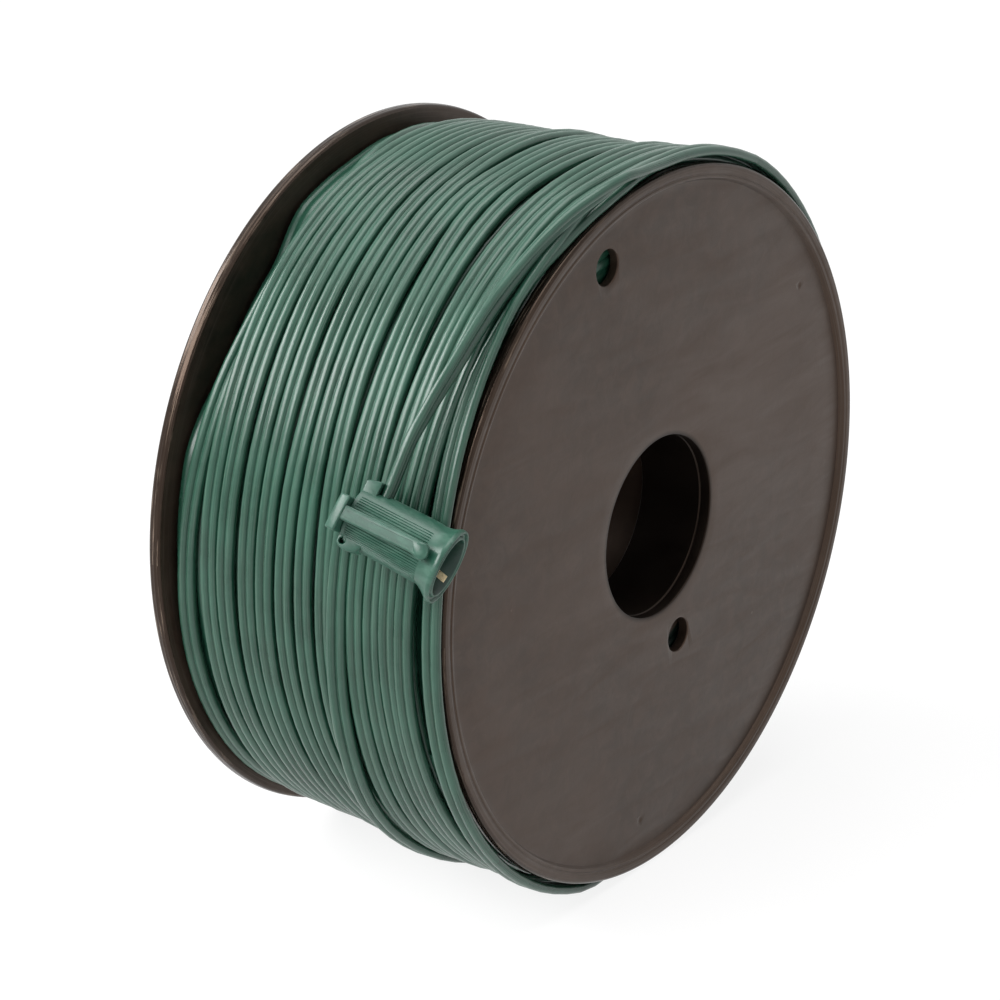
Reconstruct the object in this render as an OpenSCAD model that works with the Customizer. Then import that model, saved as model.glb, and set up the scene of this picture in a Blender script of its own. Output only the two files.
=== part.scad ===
// Moulded reel of flat two-core lighting cord with one clip lampholder on the free end.
// Reel axis along Y, near flange towards -Y, up is +Z, origin in the middle of the arbor bore.
// Angles run from +X towards +Z. All lengths are in millimetres.

/* [Flanges] */
// Diameter over the rims the reel rolls and stands on
flange_d = 201; // [190:0.1:220]
// Clear width between the two flanges' inner faces
traverse = 89.6; // [72:0.1:110]
// Width of the thick rim, from the inner face outwards
rim_w = 3.9; // [3.6:0.1:8]
// Thickness of the flat web inside the rim
web_t = 2.8; // [2.2:0.1:3.4]
// Flat land of the rim between its outer rounding and the recess
rim_land = 2.9; // [1:0.1:5]
// Rounding at the rim's outer edge
rim_round = 1.2; // [1.1:0.1:1.8]
// Small rounding at the rim's inner edge, where the cord rubs
rim_inner_round = 1.0; // [0.4:0.1:1.6]
// Width of the slope from the rim's crest down to the web
recess_slope = 0.8; // [0.4:0.1:3]
// Height of the parting ridge round the rim
parting_ridge = 0.1; // [0.05:0.05:0.3]

/* [Arbor and drum] */
// Diameter of the arbor bore
bore_d = 51.2; // [40:0.1:56]
// Wall of each flange's hub sleeve
sleeve_wall = 2.2; // [1.4:0.1:4]
// Length of the hub sleeve from the web's inner face
sleeve_len = 19.4; // [10:0.1:30]
// Depth and half width of the witness groove between web and sleeve
witness_groove = 0.3; // [0.1:0.05:0.6]
// Radial clearance of the sleeve in the arbor tube
sleeve_clear = 0.1; // [0.05:0.05:0.4]
// Wall of the drum's inner arbor tube
arbor_wall = 2.4; // [1.6:0.1:4]
// Diameter of the drum that the cord is wound on
drum_d = 76; // [70:0.1:84]
// Wall of the drum
drum_wall = 3; // [2:0.1:3.6]
// Number of ribs between the arbor tube and the drum
rib_count = 6; // [3:1:10]
// Thickness of one drum rib
rib_t = 2.4; // [1.2:0.1:4]
// Set-back of the ribs from the drum's ends
rib_setback = 4; // [3:0.5:12]
// Height of the ring on each web that centres the drum
ring_h = 2.5; // [1.5:0.1:2.8]
// Wall of the centring ring
ring_wall = 1.8; // [1:0.1:2.4]
// Radial clearance between the centring ring and the drum
ring_clear = 0.15; // [0.05:0.05:0.4]

/* [Cord holes] */
// Diameter of the cord hole near the rim
rim_hole_d = 10; // [6:0.1:12]
// Radius from the reel's axis to the rim hole
rim_hole_r = 85.2; // [72:0.1:88]
// Angle of the rim hole
rim_hole_angle = 107.6; // [90:0.1:130]
// Diameter of the starting hole beside the drum
start_hole_d = 9.7; // [6:0.1:10]
// Distance from the drum's surface inwards to the starting hole's centre
start_hole_in = 0.55; // [0:0.05:1.5]
// Angle of the starting hole, opposite the rim hole
start_hole_angle = -73.5; // [-90:0.1:-60]
// Diameter of the ejector marks on each flange's face
mark_d = 1.8; // [1:0.1:4]
// Depth of the ejector marks
mark_depth = 0.3; // [0.1:0.1:0.8]
// Distance of the ejector marks inside the flange's outer edge
mark_in = 14.1; // [8:0.1:30]

/* [Cord] */
// Width of the flat two-core cord
cord_w = 5.6; // [5:0.1:5.8]
// Thickness of the flat cord
cord_t = 2.8; // [2.2:0.1:3]
// Least gap kept between neighbouring turns
turn_gap = 0.45; // [0.42:0.01:0.6]

/* [Wound cord] */
// Drop from the rims to the layer under the outer turns, by the far flange
fill_drop = 5.1; // [4:0.1:10]
// Rise of the pile after the first far turns
rise_far = 1.2; // [0:0.1:1.6]
// Rise of the pile at the middle
rise_mid = 1.5; // [0:0.1:2.4]
// Distance of the middle rise from the near flange
rise_mid_at = 42.8; // [30:0.1:60]
// Distance of the near rise from the near flange
rise_near_at = 17.3; // [12:0.1:26]
// Height of the layer under the last turns over the rims' level
crown_rise = 0.5; // [0:0.1:0.8]
// Distance of the first turn's middle from the far flange
first_in = 5.1; // [4.6:0.1:6]
// Extra step between the first and the second turn
first_skip = 3.15; // [1:0.05:4]
// How far the last turn's middle lies over the near rim
rim_lap = 0.5; // [0:0.1:1.5]
// Height of the last turns' underside over the rim
rim_ride = 0.02; // [0:0.01:0.3]
// Clearance between the cord and the floor that the rims stand on
floor_clear = 0.2; // [0.1:0.1:1]
// Sideways shift of the turns where the reel stands
foot_shift = 3.5; // [3:0.05:3.6]
// Width of the pocket that the outer layer starts from
pocket_w = 9.2; // [7.5:0.1:12]
// Drop from the rims to the pocket's floor
pocket_drop = 12.5; // [10:0.1:20]

/* [Lampholder body] */
// Length of the body from its mouth to the cap
body_len = 29.1; // [28:0.1:33]
// Radius of the barrel at the cap
barrel_r = 7.9; // [7.5:0.05:8.4]
// Radius of the barrel where the flare starts
barrel_front_r = 8.35; // [8:0.05:9]
// Length of the flared mouth
flare_len = 9.5; // [7:0.1:12]
// Outer radius of the mouth
mouth_r = 10.15; // [9.5:0.05:11]
// Inner radius of the mouth
cup_r = 7.65; // [7:0.05:8.5]
// Depth of the mouth cup down to the thread bore
cup_depth = 7; // [5:0.1:9]
// Radius of the bore that takes the lamp's screw base
thread_r = 6.05; // [5.8:0.05:6.4]
// Depth of the bore's floor behind the mouth
floor_depth = 18.5; // [16:0.1:19.5]
// Height of the grip ribs
grip_h = 0.3; // [0.15:0.05:0.5]
// Width of one grip rib
grip_w = 0.6; // [0.3:0.05:1]
// Number of grip ribs round the barrel
grip_count = 26; // [12:1:36]
// Depth of the cord channel's middle behind the mouth
channel_depth = 22.5; // [21.8:0.1:23]
// Clearance round the cord in its channel
channel_clear = 0.05; // [0.02:0.01:0.3]
// Half width of the cord hood and of the tie lug
hood_half = 4.4; // [3.6:0.1:5]
// Reach of the hood from the barrel's axis
hood_reach = 10.4; // [9:0.1:12]
// Thickness of the hood behind the cord
hood_t = 4.5; // [3:0.1:4.8]
// Radius of the rounded tie lug
lug_r = 3.3; // [2.6:0.1:3.6]
// Reach of the tie lug from the barrel's axis
lug_reach = 9.9; // [9:0.1:11]
// Diameter of the tie lug's small hole
lug_hole_d = 1.6; // [1:0.1:2]

/* [Lampholder cap and clip] */
// Thickness of the cap plate
cap_t = 3; // [2:0.1:4]
// Width of the cap plate
cap_w = 9.9; // [8:0.1:12]
// Offset of the cap plate from the barrel's axis
cap_offset = -0.95; // [-1.5:0.05:0]
// Width of the clip finger
clip_w = 5.3; // [4:0.1:6.5]
// Offset of the clip finger from the barrel's axis
clip_offset = 0.7; // [0:0.1:1]
// Thickness of the clip finger
clip_t = 2.3; // [1.5:0.1:3]
// Gap between the finger and the barrel, where a twig or a gutter goes in
clip_gap = 1.0; // [0.8:0.1:2]
// Distance of the finger's tip behind the mouth
clip_tip = 6.3; // [5:0.1:9]
// Height of the grip bump under the finger's tip
clip_bump = 0.35; // [0.1:0.05:0.4]
// Width and depth of the groove along the finger
clip_groove_w = 2.2; // [1:0.1:3]
// Depth of the groove along the finger
clip_groove = 0.4; // [0.2:0.1:0.8]
// Rounding of the cap at the clip's bend
bend_r = 2.6; // [1.5:0.1:2.9]

/* [Contacts] */
// Thickness of the contact strips
strip_t = 0.4; // [0.3:0.05:0.6]
// Width of the side contact
strip_w = 1.6; // [1:0.1:2]
// Angle of the side contact round the bore, from the hood
strip_angle = 233; // [215:1:245]
// Depth of the side contact's top behind the mouth
strip_top = 1.6; // [1:0.1:4]
// Radius of the centre contact
pip_r = 1.3; // [1:0.1:1.5]
// Width of each contact's prong
prong_w = 0.8; // [0.5:0.1:1]

/* [Lampholder place] */
// Angle round the reel of the lampholder's mouth
mouth_angle = 165.8; // [155:0.1:175]
// Height of the mouth's centre over the rims' level
mouth_lift = 11; // [10.6:0.1:20]
// Distance of the mouth's centre beyond the near inner face
mouth_out = 10.5; // [9:0.1:14]
// Compass heading of the lampholder's mouth
mouth_heading = -78.5; // [-82:0.1:-75]
// Tilt of the lampholder's axis from upright
mouth_tilt = 109.3; // [107:0.1:112]
// Turn of the lampholder about its own axis
mouth_spin = 150.6; // [146:0.1:155]

/* [Hidden] */
$fn = 96;
eps = 0.01;
plastic = [0.2, 0.18, 0.17];
plastic_dark = [0.14, 0.13, 0.12];
green = [0.16, 0.4, 0.31];
green_dark = [0.08, 0.24, 0.18];
green_moulded = [0.2, 0.46, 0.36];
brass = [0.8, 0.66, 0.36];

flange_r = flange_d / 2;
body_r = flange_r - parting_ridge;
inner_y = traverse / 2;
bore_r = bore_d / 2;
sleeve_or = bore_r + sleeve_wall;
arbor_ir = sleeve_or + sleeve_clear;
arbor_or = arbor_ir + arbor_wall;
drum_r = drum_d / 2;
drum_ir = drum_r - drum_wall;
ring_or = drum_ir - ring_clear;
start_hole_r = drum_r - start_hole_in;
crest_r = body_r - rim_round;
recess_r = crest_r - rim_land - recess_slope;

// ---- reel ----

module along_y() {
    rotate([90, 0, 0]) children();
}

// Half-section of a flange: x is the radius, y runs outwards from the web's inner face.
module flange_section() {
    difference() {
        union() {
            translate([bore_r, 0]) square([body_r - rim_inner_round - bore_r, web_t]);
            polygon([[recess_r, 0], [crest_r, 0], [crest_r, rim_w],
                     [crest_r - rim_land, rim_w], [recess_r, web_t]]);
            translate([crest_r, rim_w - rim_round]) circle(r = rim_round);
            translate([crest_r, rim_inner_round])
                square([rim_round, rim_w - rim_round - rim_inner_round]);
            translate([body_r - rim_inner_round, rim_inner_round]) circle(r = rim_inner_round);
            translate([crest_r - eps, 0])
                square([rim_round - rim_inner_round + eps, rim_inner_round + eps]);
            translate([crest_r, rim_w / 2 - 0.3]) square([rim_round + parting_ridge, 0.6]);
            translate([bore_r, -sleeve_len]) square([sleeve_wall, sleeve_len + eps]);
            translate([ring_or - ring_wall, -ring_h]) square([ring_wall, ring_h + eps]);
        }
        polygon([[bore_r - eps, -witness_groove], [bore_r - eps, witness_groove],
                 [bore_r + witness_groove, 0]]);
    }
}

module cord_holes() {
    rotate([0, 0, rim_hole_angle]) translate([rim_hole_r, 0, -ring_h - 1])
        cylinder(r = rim_hole_d / 2, h = web_t + ring_h + 2);
    rotate([0, 0, start_hole_angle]) translate([start_hole_r, 0, -ring_h - 1])
        cylinder(r = start_hole_d / 2, h = web_t + ring_h + 2);
}

module ejector_marks() {
    for (a = [34.8, -94.5])
        rotate([0, 0, a]) translate([flange_r - mark_in, 0, web_t - mark_depth])
            cylinder(r = mark_d / 2, h = mark_depth + 1);
}

// One flange, lying on its inner face, as it comes out of the mould.
module flange() {
    difference() {
        rotate_extrude() flange_section();
        cord_holes();
        ejector_marks();
    }
}

module front_flange() {
    color(plastic) along_y() translate([0, 0, inner_y]) flange();
}

module rear_flange() {
    color(plastic) mirror([0, 1, 0]) along_y() translate([0, 0, inner_y]) flange();
}

module barrel() {
    color(plastic_dark) along_y() union() {
        difference() {
            cylinder(r = drum_r, h = traverse, center = true);
            cylinder(r = drum_ir, h = traverse + 2, center = true);
        }
        difference() {
            union() {
                cylinder(r = arbor_or, h = traverse, center = true);
                for (i = [0:rib_count - 1])
                    rotate([0, 0, i * 360 / rib_count])
                        translate([arbor_ir + arbor_wall / 2, -rib_t / 2, rib_setback - inner_y])
                            cube([drum_ir - arbor_ir - arbor_wall / 2 + drum_wall / 2, rib_t,
                                  traverse - 2 * rib_setback]);
            }
            cylinder(r = arbor_ir, h = traverse + 2, center = true);
        }
    }
}

// ---- wound cord ----

step_deg = 15;
half_cos = cos(step_deg / 2);
start_angle = 105;
pocket_end = 160;
t_ref = (180 - start_angle) / 360;
t_foot = (270 - start_angle) / 360;

function smooth(x) = let (c = min(1, max(0, x))) c * c * (3 - 2 * c);

first_y = inner_y - first_in;
hold_y = -(inner_y + rim_lap);
wind_span = first_y - first_skip - hold_y;
turns = floor(wind_span / (cord_w + turn_gap) + 1 - t_foot + t_ref);
pitch = wind_span / (turns - 1 + t_foot - t_ref);
last_t = turns - 1 + 315 / 360;
hold_t = turns - 1 + 20 / 360;

// Radius of the layer under the outer turns at the distance y along the reel's axis.
pile_far_r = flange_r - fill_drop;
rise_near = fill_drop + crown_rise - rise_far - rise_mid;
function pile_r(y) = pile_far_r + rise_far * smooth((inner_y - 8.8 - y) / 14)
    + rise_mid * smooth((rise_mid_at + 5 - (y + inner_y)) / 10)
    + rise_near * smooth((rise_near_at + 2.5 - (y + inner_y)) / 5);

// Push of the turns away from the near rim, full where the reel stands.
function foot(th) = smooth((cos(th - 270) - cos(50)) / (cos(15) - cos(50)));

// Place along the axis of the outer layer after t turns.
function lane_line(t) = first_y - pitch * (t - t_ref) - first_skip * smooth((t - 0.55) / 0.6);
function lane_y(t) = let (line = lane_line(t))
    line + smooth((t - hold_t + 0.09) / 0.09) * min(0, hold_y - line)
    + foot(start_angle + 360 * t) * foot_shift;

floor_r = flange_r - floor_clear - cord_t;
pocket_r = flange_r - pocket_drop;
function bed_r(t) = let (
        y = lane_y(t),
        half = cord_w / 2,
        crown = max(pile_r(y), pile_r(y - half) - 0.14 * cord_t),
        over_rim = y - half < -inner_y ? flange_r + rim_ride : 0,
        low = smooth(t * 360 / 45)
    ) (low * max(crown, over_rim) + (1 - low) * pocket_r) / half_cos;
function bed_flat_r(t) = let (s = -sin(start_angle + 360 * t))
    s > 0.5 ? min(bed_r(t), floor_r / s) : bed_r(t);

function along(th) = [-sin(th), 0, cos(th)];
function outward(th) = [cos(th), 0, sin(th)];
function wind_mid(t) = let (th = start_angle + 360 * t)
    (bed_flat_r(t) + cord_t / 2) * outward(th) + [0, lane_y(t), 0];

// Six-cornered section of the two-core cord: [across the width, through the thickness].
wind_section = [[0, 0.29 * cord_t], [cord_w * 0.29, cord_t / 2], [cord_w / 2, -0.36 * cord_t],
                [0, -cord_t / 2], [-cord_w / 2, -0.36 * cord_t], [-cord_w * 0.29, cord_t / 2]];
// Eight-cornered section of the free end of the same cord.
tail_section = [[0, 0.36 * cord_t], [cord_w / 4, cord_t / 2], [cord_w / 2, 0], [cord_w / 4, -cord_t / 2],
                [0, -0.36 * cord_t], [-cord_w / 4, -cord_t / 2], [-cord_w / 2, 0], [-cord_w / 4, cord_t / 2]];

function ring_points(mid, across, through, section) =
    [for (p = section) mid + p[0] * across + p[1] * through];

// A closed skin over rings of m points each, ends fanned from the first point.
function skin_faces(n, m) = concat(
    [for (i = [0:n - 2], j = [0:m - 1]) [i * m + j, (i + 1) * m + j, i * m + (j + 1) % m]],
    [for (i = [0:n - 2], j = [0:m - 1])
        [i * m + (j + 1) % m, (i + 1) * m + j, (i + 1) * m + (j + 1) % m]],
    [for (j = [1:m - 2]) [0, j, j + 1]],
    [for (j = [1:m - 2]) [(n - 1) * m, (n - 1) * m + j + 1, (n - 1) * m + j]]);

steps = round(last_t * 360 / step_deg);
wind_ts = [for (i = [0:steps]) i * step_deg / 360];
end_t = wind_ts[steps];
end_angle = start_angle + 360 * end_t;
wind_in = wind_mid(0) - cord_w * along(start_angle);
wind_out = wind_mid(end_t) + cord_w * along(end_angle);
wind_mids = concat([wind_in], [for (t = wind_ts) wind_mid(t)], [wind_out]);
wind_angles = concat([start_angle], [for (t = wind_ts) start_angle + 360 * t], [end_angle]);
wind_rings = [for (i = [0:len(wind_mids) - 1])
    ring_points(wind_mids[i], [0, 1, 0], outward(wind_angles[i]), wind_section)];
wind_points = [for (r = wind_rings) for (p = r) p];

// Least gap of the layer to itself, between facing edges of a turn and the next one.
turn_steps = 360 / step_deg;
wind_gap = min([for (i = [1:len(wind_rings) - turn_steps - 2])
    norm(wind_rings[i][4] - wind_rings[i + turn_steps][2])]);
echo(turns = turns, pitch = pitch, wind_gap = wind_gap);

module winding_outer() {
    color(green) polyhedron(wind_points, skin_faces(len(wind_rings), 6), convexity = 10);
}

// Half-section of the wound pile: x is the radius, y runs towards the near flange.
pile_steps = 28;
pile_line = [for (i = [0:pile_steps]) let (y = inner_y - i * traverse / pile_steps) [pile_r(y), -y]];
module pile_section() {
    polygon(concat([[drum_r, -inner_y]], pile_line, [[drum_r, inner_y]]));
}

module pocket() {
    along_y() intersection() {
        translate([0, 0, -inner_y - 1]) difference() {
            cylinder(r = flange_r + 10, h = pocket_w + 1);
            translate([0, 0, -1]) cylinder(r = pocket_r, h = pocket_w + 3);
        }
        rotate([0, 0, start_angle]) translate([0, -cord_w, -inner_y - 2])
            cube([2 * flange_r, 2 * flange_r, pocket_w + 4]);
        rotate([0, 0, pocket_end]) translate([0, -2 * flange_r, -inner_y - 2])
            cube([2 * flange_r, 2 * flange_r, pocket_w + 4]);
    }
}

module winding_core() {
    color(green_dark) difference() {
        along_y() rotate_extrude() pile_section();
        translate([-flange_r, -traverse, -2 * flange_r])
            cube([2 * flange_r, 2 * traverse, 2 * flange_r - floor_r]);
        pocket();
    }
}

// ---- lampholder ----
// Its own frame: z out of the mouth, x towards the cord hood, y towards the clip.

mouth_at = (flange_r + mouth_lift) * outward(mouth_angle) - [0, inner_y + mouth_out, 0];
dir_mouth = [cos(mouth_heading) * sin(mouth_tilt), sin(mouth_heading) * sin(mouth_tilt), cos(mouth_tilt)];
side_a = [cos(mouth_heading) * cos(mouth_tilt), sin(mouth_heading) * cos(mouth_tilt), -sin(mouth_tilt)];
side_b = [-sin(mouth_heading), cos(mouth_heading), 0];
dir_hood = cos(mouth_spin) * side_a + sin(mouth_spin) * side_b;
dir_clip = -sin(mouth_spin) * side_a + cos(mouth_spin) * side_b;

module at_lampholder() {
    translate(mouth_at) rotate([0, mouth_tilt, mouth_heading]) rotate([0, 0, mouth_spin]) children();
}

flare_steps = 8;
flare_line = [for (i = [0:flare_steps]) let (s = i / flare_steps)
    [barrel_front_r + (mouth_r - barrel_front_r) * s * s, -flare_len + (flare_len - 1.2) * s]];
channel_t = cord_t + 2 * channel_clear;
channel_w = cord_w + 2 * channel_clear;
channel_end = 6.4;

module body_section() {
    difference() {
        polygon(concat([[0, -body_len], [barrel_r, -body_len]], flare_line,
                       [[mouth_r, -0.4], [mouth_r - 0.4, 0], [0, 0]]));
        polygon([[-1, 1], [cup_r + 0.3, 1], [cup_r + 0.3, 0], [cup_r, -0.3], [cup_r - 0.5, -cup_depth + 0.6],
                 [thread_r, -cup_depth], [thread_r, -floor_depth], [-1, -floor_depth]]);
    }
}

module grip_ribs() {
    for (i = [0:grip_count - 1])
        rotate([0, 0, (i + 0.5) * 360 / grip_count])
            translate([barrel_r - 1, -grip_w / 2, -body_len + 1.2])
                cube([1 + grip_h, grip_w, body_len - flare_len - 2.4]);
}

hood_front = channel_depth + channel_t / 2;
module hood() {
    translate([0, 0, -hood_front - hood_t]) {
        translate([0, -hood_half + 1, 0]) cube([hood_reach, 2 * hood_half - 2, hood_t]);
        translate([0, -hood_half, 0]) cube([hood_reach - 1, 2 * hood_half, hood_t]);
        for (s = [-1, 1])
            translate([hood_reach - 1, s * (hood_half - 1), 0]) cylinder(r = 1, h = hood_t);
    }
}

lug_z = -(hood_front + lug_r - 0.6);
module tie_lug() {
    difference() {
        union() {
            translate([-lug_reach + lug_r, hood_half, lug_z]) rotate([90, 0, 0])
                cylinder(r = lug_r, h = 2 * hood_half);
            translate([-lug_reach + lug_r, -hood_half, lug_z - lug_r])
                cube([lug_reach - lug_r, 2 * hood_half, 2 * lug_r]);
        }
        translate([-lug_reach - 1, -hood_half - 1, -body_len - 10])
            cube([lug_reach + 2, 2 * hood_half + 2, 10]);
    }
}

module strip_cut() {
    rotate([0, 0, strip_angle]) intersection() {
        rotate_extrude() polygon([
            [cup_r - 0.05, -strip_top], [cup_r + strip_t, -strip_top],
            [cup_r + strip_t - 0.5, -cup_depth + 0.6], [thread_r + strip_t, -cup_depth],
            [thread_r + strip_t, -floor_depth], [thread_r, -floor_depth],
            [thread_r, -cup_depth], [cup_r - 0.55, -cup_depth + 0.6]]);
        translate([0, -strip_w / 2, -body_len]) cube([mouth_r, strip_w, body_len]);
    }
}

module strip_foot() {
    rotate([0, 0, strip_angle]) translate([1.6, -strip_w / 2, -floor_depth - strip_t])
        cube([thread_r + strip_t - 1.6, strip_w, strip_t]);
}

prong_z = -(channel_depth - cord_t / 2);
prong_len = channel_depth - cord_t / 2 - floor_depth;
module strip_prong() {
    translate([2 * cos(strip_angle) - prong_w / 2, -cord_w / 4 - prong_w / 2, prong_z])
        cube([prong_w, prong_w, prong_len - strip_t + eps]);
}

module pip() {
    translate([0, cord_w / 4, -floor_depth - strip_t]) cylinder(r = pip_r, h = strip_t);
}

module pip_prong() {
    translate([-prong_w / 2, cord_w / 4 - prong_w / 2, prong_z])
        cube([prong_w, prong_w, prong_len - strip_t + eps]);
}

module socket_body() {
    color(green_moulded) at_lampholder() difference() {
        union() {
            rotate_extrude() body_section();
            grip_ribs();
            hood();
            tie_lug();
        }
        translate([0, 0, -floor_depth]) cylinder(r = thread_r, h = floor_depth - cup_depth);
        translate([-channel_end, -channel_w / 2, -channel_depth - channel_t / 2])
            cube([channel_end + hood_reach + 1, channel_w, channel_t]);
        translate([-lug_reach + 2.4, hood_half + 1, lug_z - 1.6]) rotate([90, 0, 0])
            cylinder(r = lug_hole_d / 2, h = 2 * hood_half + 2);
        strip_cut();
        strip_foot();
        strip_prong();
        pip();
        pip_prong();
    }
}

module side_contact() {
    color(brass) at_lampholder() union() {
        strip_cut();
        strip_foot();
        strip_prong();
    }
}

module centre_contact() {
    color(brass) at_lampholder() union() {
        pip();
        pip_prong();
    }
}

clip_in = barrel_r + clip_gap;
clip_out = clip_in + clip_t;

// Side view of the cap: x towards the clip, y out of the mouth.
module cap_profile(reach) {
    difference() {
        translate([-barrel_r + 0.4, -body_len - cap_t]) square([barrel_r - 0.4 + reach, cap_t]);
        translate([reach - bend_r, -body_len - cap_t - eps]) square([bend_r + eps, bend_r]);
    }
    translate([reach - bend_r, -body_len - cap_t + bend_r]) circle(r = bend_r);
}

// Turns a side view into a slab of the given width across the lampholder.
module across(width, offset) {
    translate([offset - width / 2, 0, 0]) rotate([90, 0, 90]) linear_extrude(width) children();
}

module clip_finger() {
    tip_r = clip_w / 2;
    difference() {
        union() {
            translate([clip_offset - tip_r, clip_in, -body_len - cap_t + bend_r])
                cube([clip_w, clip_t, body_len + cap_t - bend_r - clip_tip - tip_r]);
            translate([clip_offset, clip_in, -clip_tip - tip_r]) rotate([-90, 0, 0])
                cylinder(r = tip_r, h = clip_t);
            translate([clip_offset, clip_in - clip_bump, -clip_tip - tip_r]) rotate([-90, 0, 0])
                cylinder(r = tip_r - 0.6, h = clip_bump + eps);
        }
        translate([clip_offset - clip_groove_w / 2, clip_out - clip_groove, -body_len + 2])
            cube([clip_groove_w, clip_groove + 1, body_len - 2 - clip_tip - clip_w]);
    }
}

module clip_cap() {
    color(green_moulded) at_lampholder() difference() {
        union() {
            across(cap_w, cap_offset) cap_profile(clip_out);
            clip_finger();
        }
        translate([-cap_w, clip_in - 40, -body_len]) cube([2 * cap_w, 40, body_len]);
    }
}

// ---- free end of the cord ----
// [angle, height of its middle over the bed's level, distance beyond the near inner face, twist]
tail_level = flange_r + crown_rise + 0.6;
tail_route = [
    [70, 1.8, 3.2, 0], [77, 1.8, 3.3, 0], [84, 1.8, 3.4, 0], [91, 2, 3.5, 0], [97, 3.2, 3.7, 0],
    [102, 4.8, 4.2, 0], [107, 5.5, 4.1, 0], [112, 5.6, 3.2, 5], [116, 5.6, 1, 12], [120, 5.6, -1.2, 22],
    [125, 5.8, -2.6, 35], [130, 6.2, -3.4, 48], [135, 6.8, -4.4, 60], [140, 7.6, -5.6, 71],
    [144, 8.4, -6.4, 79], [148, 9.6, -7.2, 85], [152, 11, -7.6, 89]];

hole_mouth = mouth_at + barrel_r * dir_hood - channel_depth * dir_mouth;
tail_end = mouth_at - channel_end * dir_hood - channel_depth * dir_mouth;
tail_near = hole_mouth + cord_w * dir_hood;
tail_mids = concat([wind_out],
    [for (p = tail_route) (tail_level + p[1]) * outward(p[0]) - [0, inner_y + p[2], 0]],
    [tail_near, hole_mouth, tail_end]);
tail_last = len(tail_mids) - 1;

function unit(v) = v / norm(v);
function heading(i) = i == 0 ? along(end_angle)
    : i >= tail_last - 2 ? -dir_hood
    : unit(tail_mids[i + 1] - tail_mids[i - 1]);
// Width of the cord: flat on the reel at first, then turned on edge.
function flat_side(i) = i == 0 ? [0, 1, 0]
    : i >= tail_last - 2 ? dir_clip
    : let (p = tail_route[i - 1]) cos(p[3]) * [0, 1, 0] + sin(p[3]) * outward(p[0]);
function tail_across(i) = let (h = heading(i), f = flat_side(i)) unit(f - (f * h) * h);
function tail_ring(i) = let (h = heading(i), a = tail_across(i))
    ring_points(tail_mids[i], a, cross(a, h), tail_section);
tail_points = [for (i = [0:tail_last]) for (p = tail_ring(i)) p];
tail_lengths = [for (i = [1:tail_last]) norm(tail_mids[i] - tail_mids[i - 1])];
function sum(v, i = 0) = i < len(v) ? v[i] + sum(v, i + 1) : 0;
echo(tail_length = sum(tail_lengths));

module cord_tail() {
    color(green) polyhedron(tail_points, skin_faces(tail_last + 1, 8), convexity = 6);
}

front_flange();
rear_flange();
barrel();
winding_core();
winding_outer();
cord_tail();
socket_body();
clip_cap();
side_contact();
centre_contact();
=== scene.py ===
"""Moulded reel of flat two-core lighting cord, with a clip lampholder on the cord's free end.

The reel's axis runs along Y, its near flange faces -Y and up is +Z. Angles on the reel run from +X
towards +Z. Sizes in the classes are in millimetres, and meshes are built in metres.
"""
import logging
import math
from dataclasses import dataclass
from enum import Enum
from typing import Callable, Iterable, Optional, Sequence

import bmesh
import bpy
from mathutils import Matrix, Vector


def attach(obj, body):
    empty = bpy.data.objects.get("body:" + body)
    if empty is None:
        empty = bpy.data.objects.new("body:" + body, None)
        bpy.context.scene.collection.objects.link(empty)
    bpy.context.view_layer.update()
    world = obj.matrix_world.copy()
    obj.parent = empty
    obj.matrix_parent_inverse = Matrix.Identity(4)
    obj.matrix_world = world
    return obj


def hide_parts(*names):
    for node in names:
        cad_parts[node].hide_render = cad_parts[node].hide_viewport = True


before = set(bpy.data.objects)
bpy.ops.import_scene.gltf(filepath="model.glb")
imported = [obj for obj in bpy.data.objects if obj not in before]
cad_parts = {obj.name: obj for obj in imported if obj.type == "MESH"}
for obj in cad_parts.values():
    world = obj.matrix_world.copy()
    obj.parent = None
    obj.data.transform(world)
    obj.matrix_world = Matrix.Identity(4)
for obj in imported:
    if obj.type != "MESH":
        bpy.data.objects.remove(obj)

LOG = logging.getLogger("cord_reel")
MM = 0.001
BODY = "root"

Pair = tuple[float, float]
Triple = tuple[float, float, float]
# turns the three coordinates of a piece into a point in mm
Place = Callable[[float, float, float], Vector]


class Side(Enum):
    """The two ends of the reel, as a direction along Y."""

    NEAR = -1
    FAR = 1


class Cut(Enum):
    """What a boolean does with its tool."""

    JOIN = "UNION"
    TAKE = "DIFFERENCE"


# ---- small tools ----


def polar(radius: float, angle: float, y: float) -> Vector:
    """A point on the reel.

    Args:
        radius: distance from the reel's axis, mm.
        angle: degrees from +X towards +Z.
        y: place along the axis, mm.

    Returns:
        The point in mm.
    """
    a = math.radians(angle)
    return Vector((radius * math.cos(a), y, radius * math.sin(a)))


def ease(x: float) -> float:
    """Smooth step from 0 to 1."""
    x = min(1.0, max(0.0, x))
    return x * x * (3.0 - 2.0 * x)


def window(x: float, start: float, rise: float, end: float, fall: float) -> float:
    """Eases from 0 to 1 over a rise after the start, and back to 0 over a fall after the end."""
    return ease((x - start) / rise) * (1.0 - ease((x - end) / fall))


def outward(angle: float, tilt: float = 0.0) -> Vector:
    """The direction away from the reel's axis at an angle, tilted towards -Y, both in degrees."""
    lean = math.radians(tilt)
    return polar(math.cos(lean), angle, -math.sin(lean))


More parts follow.
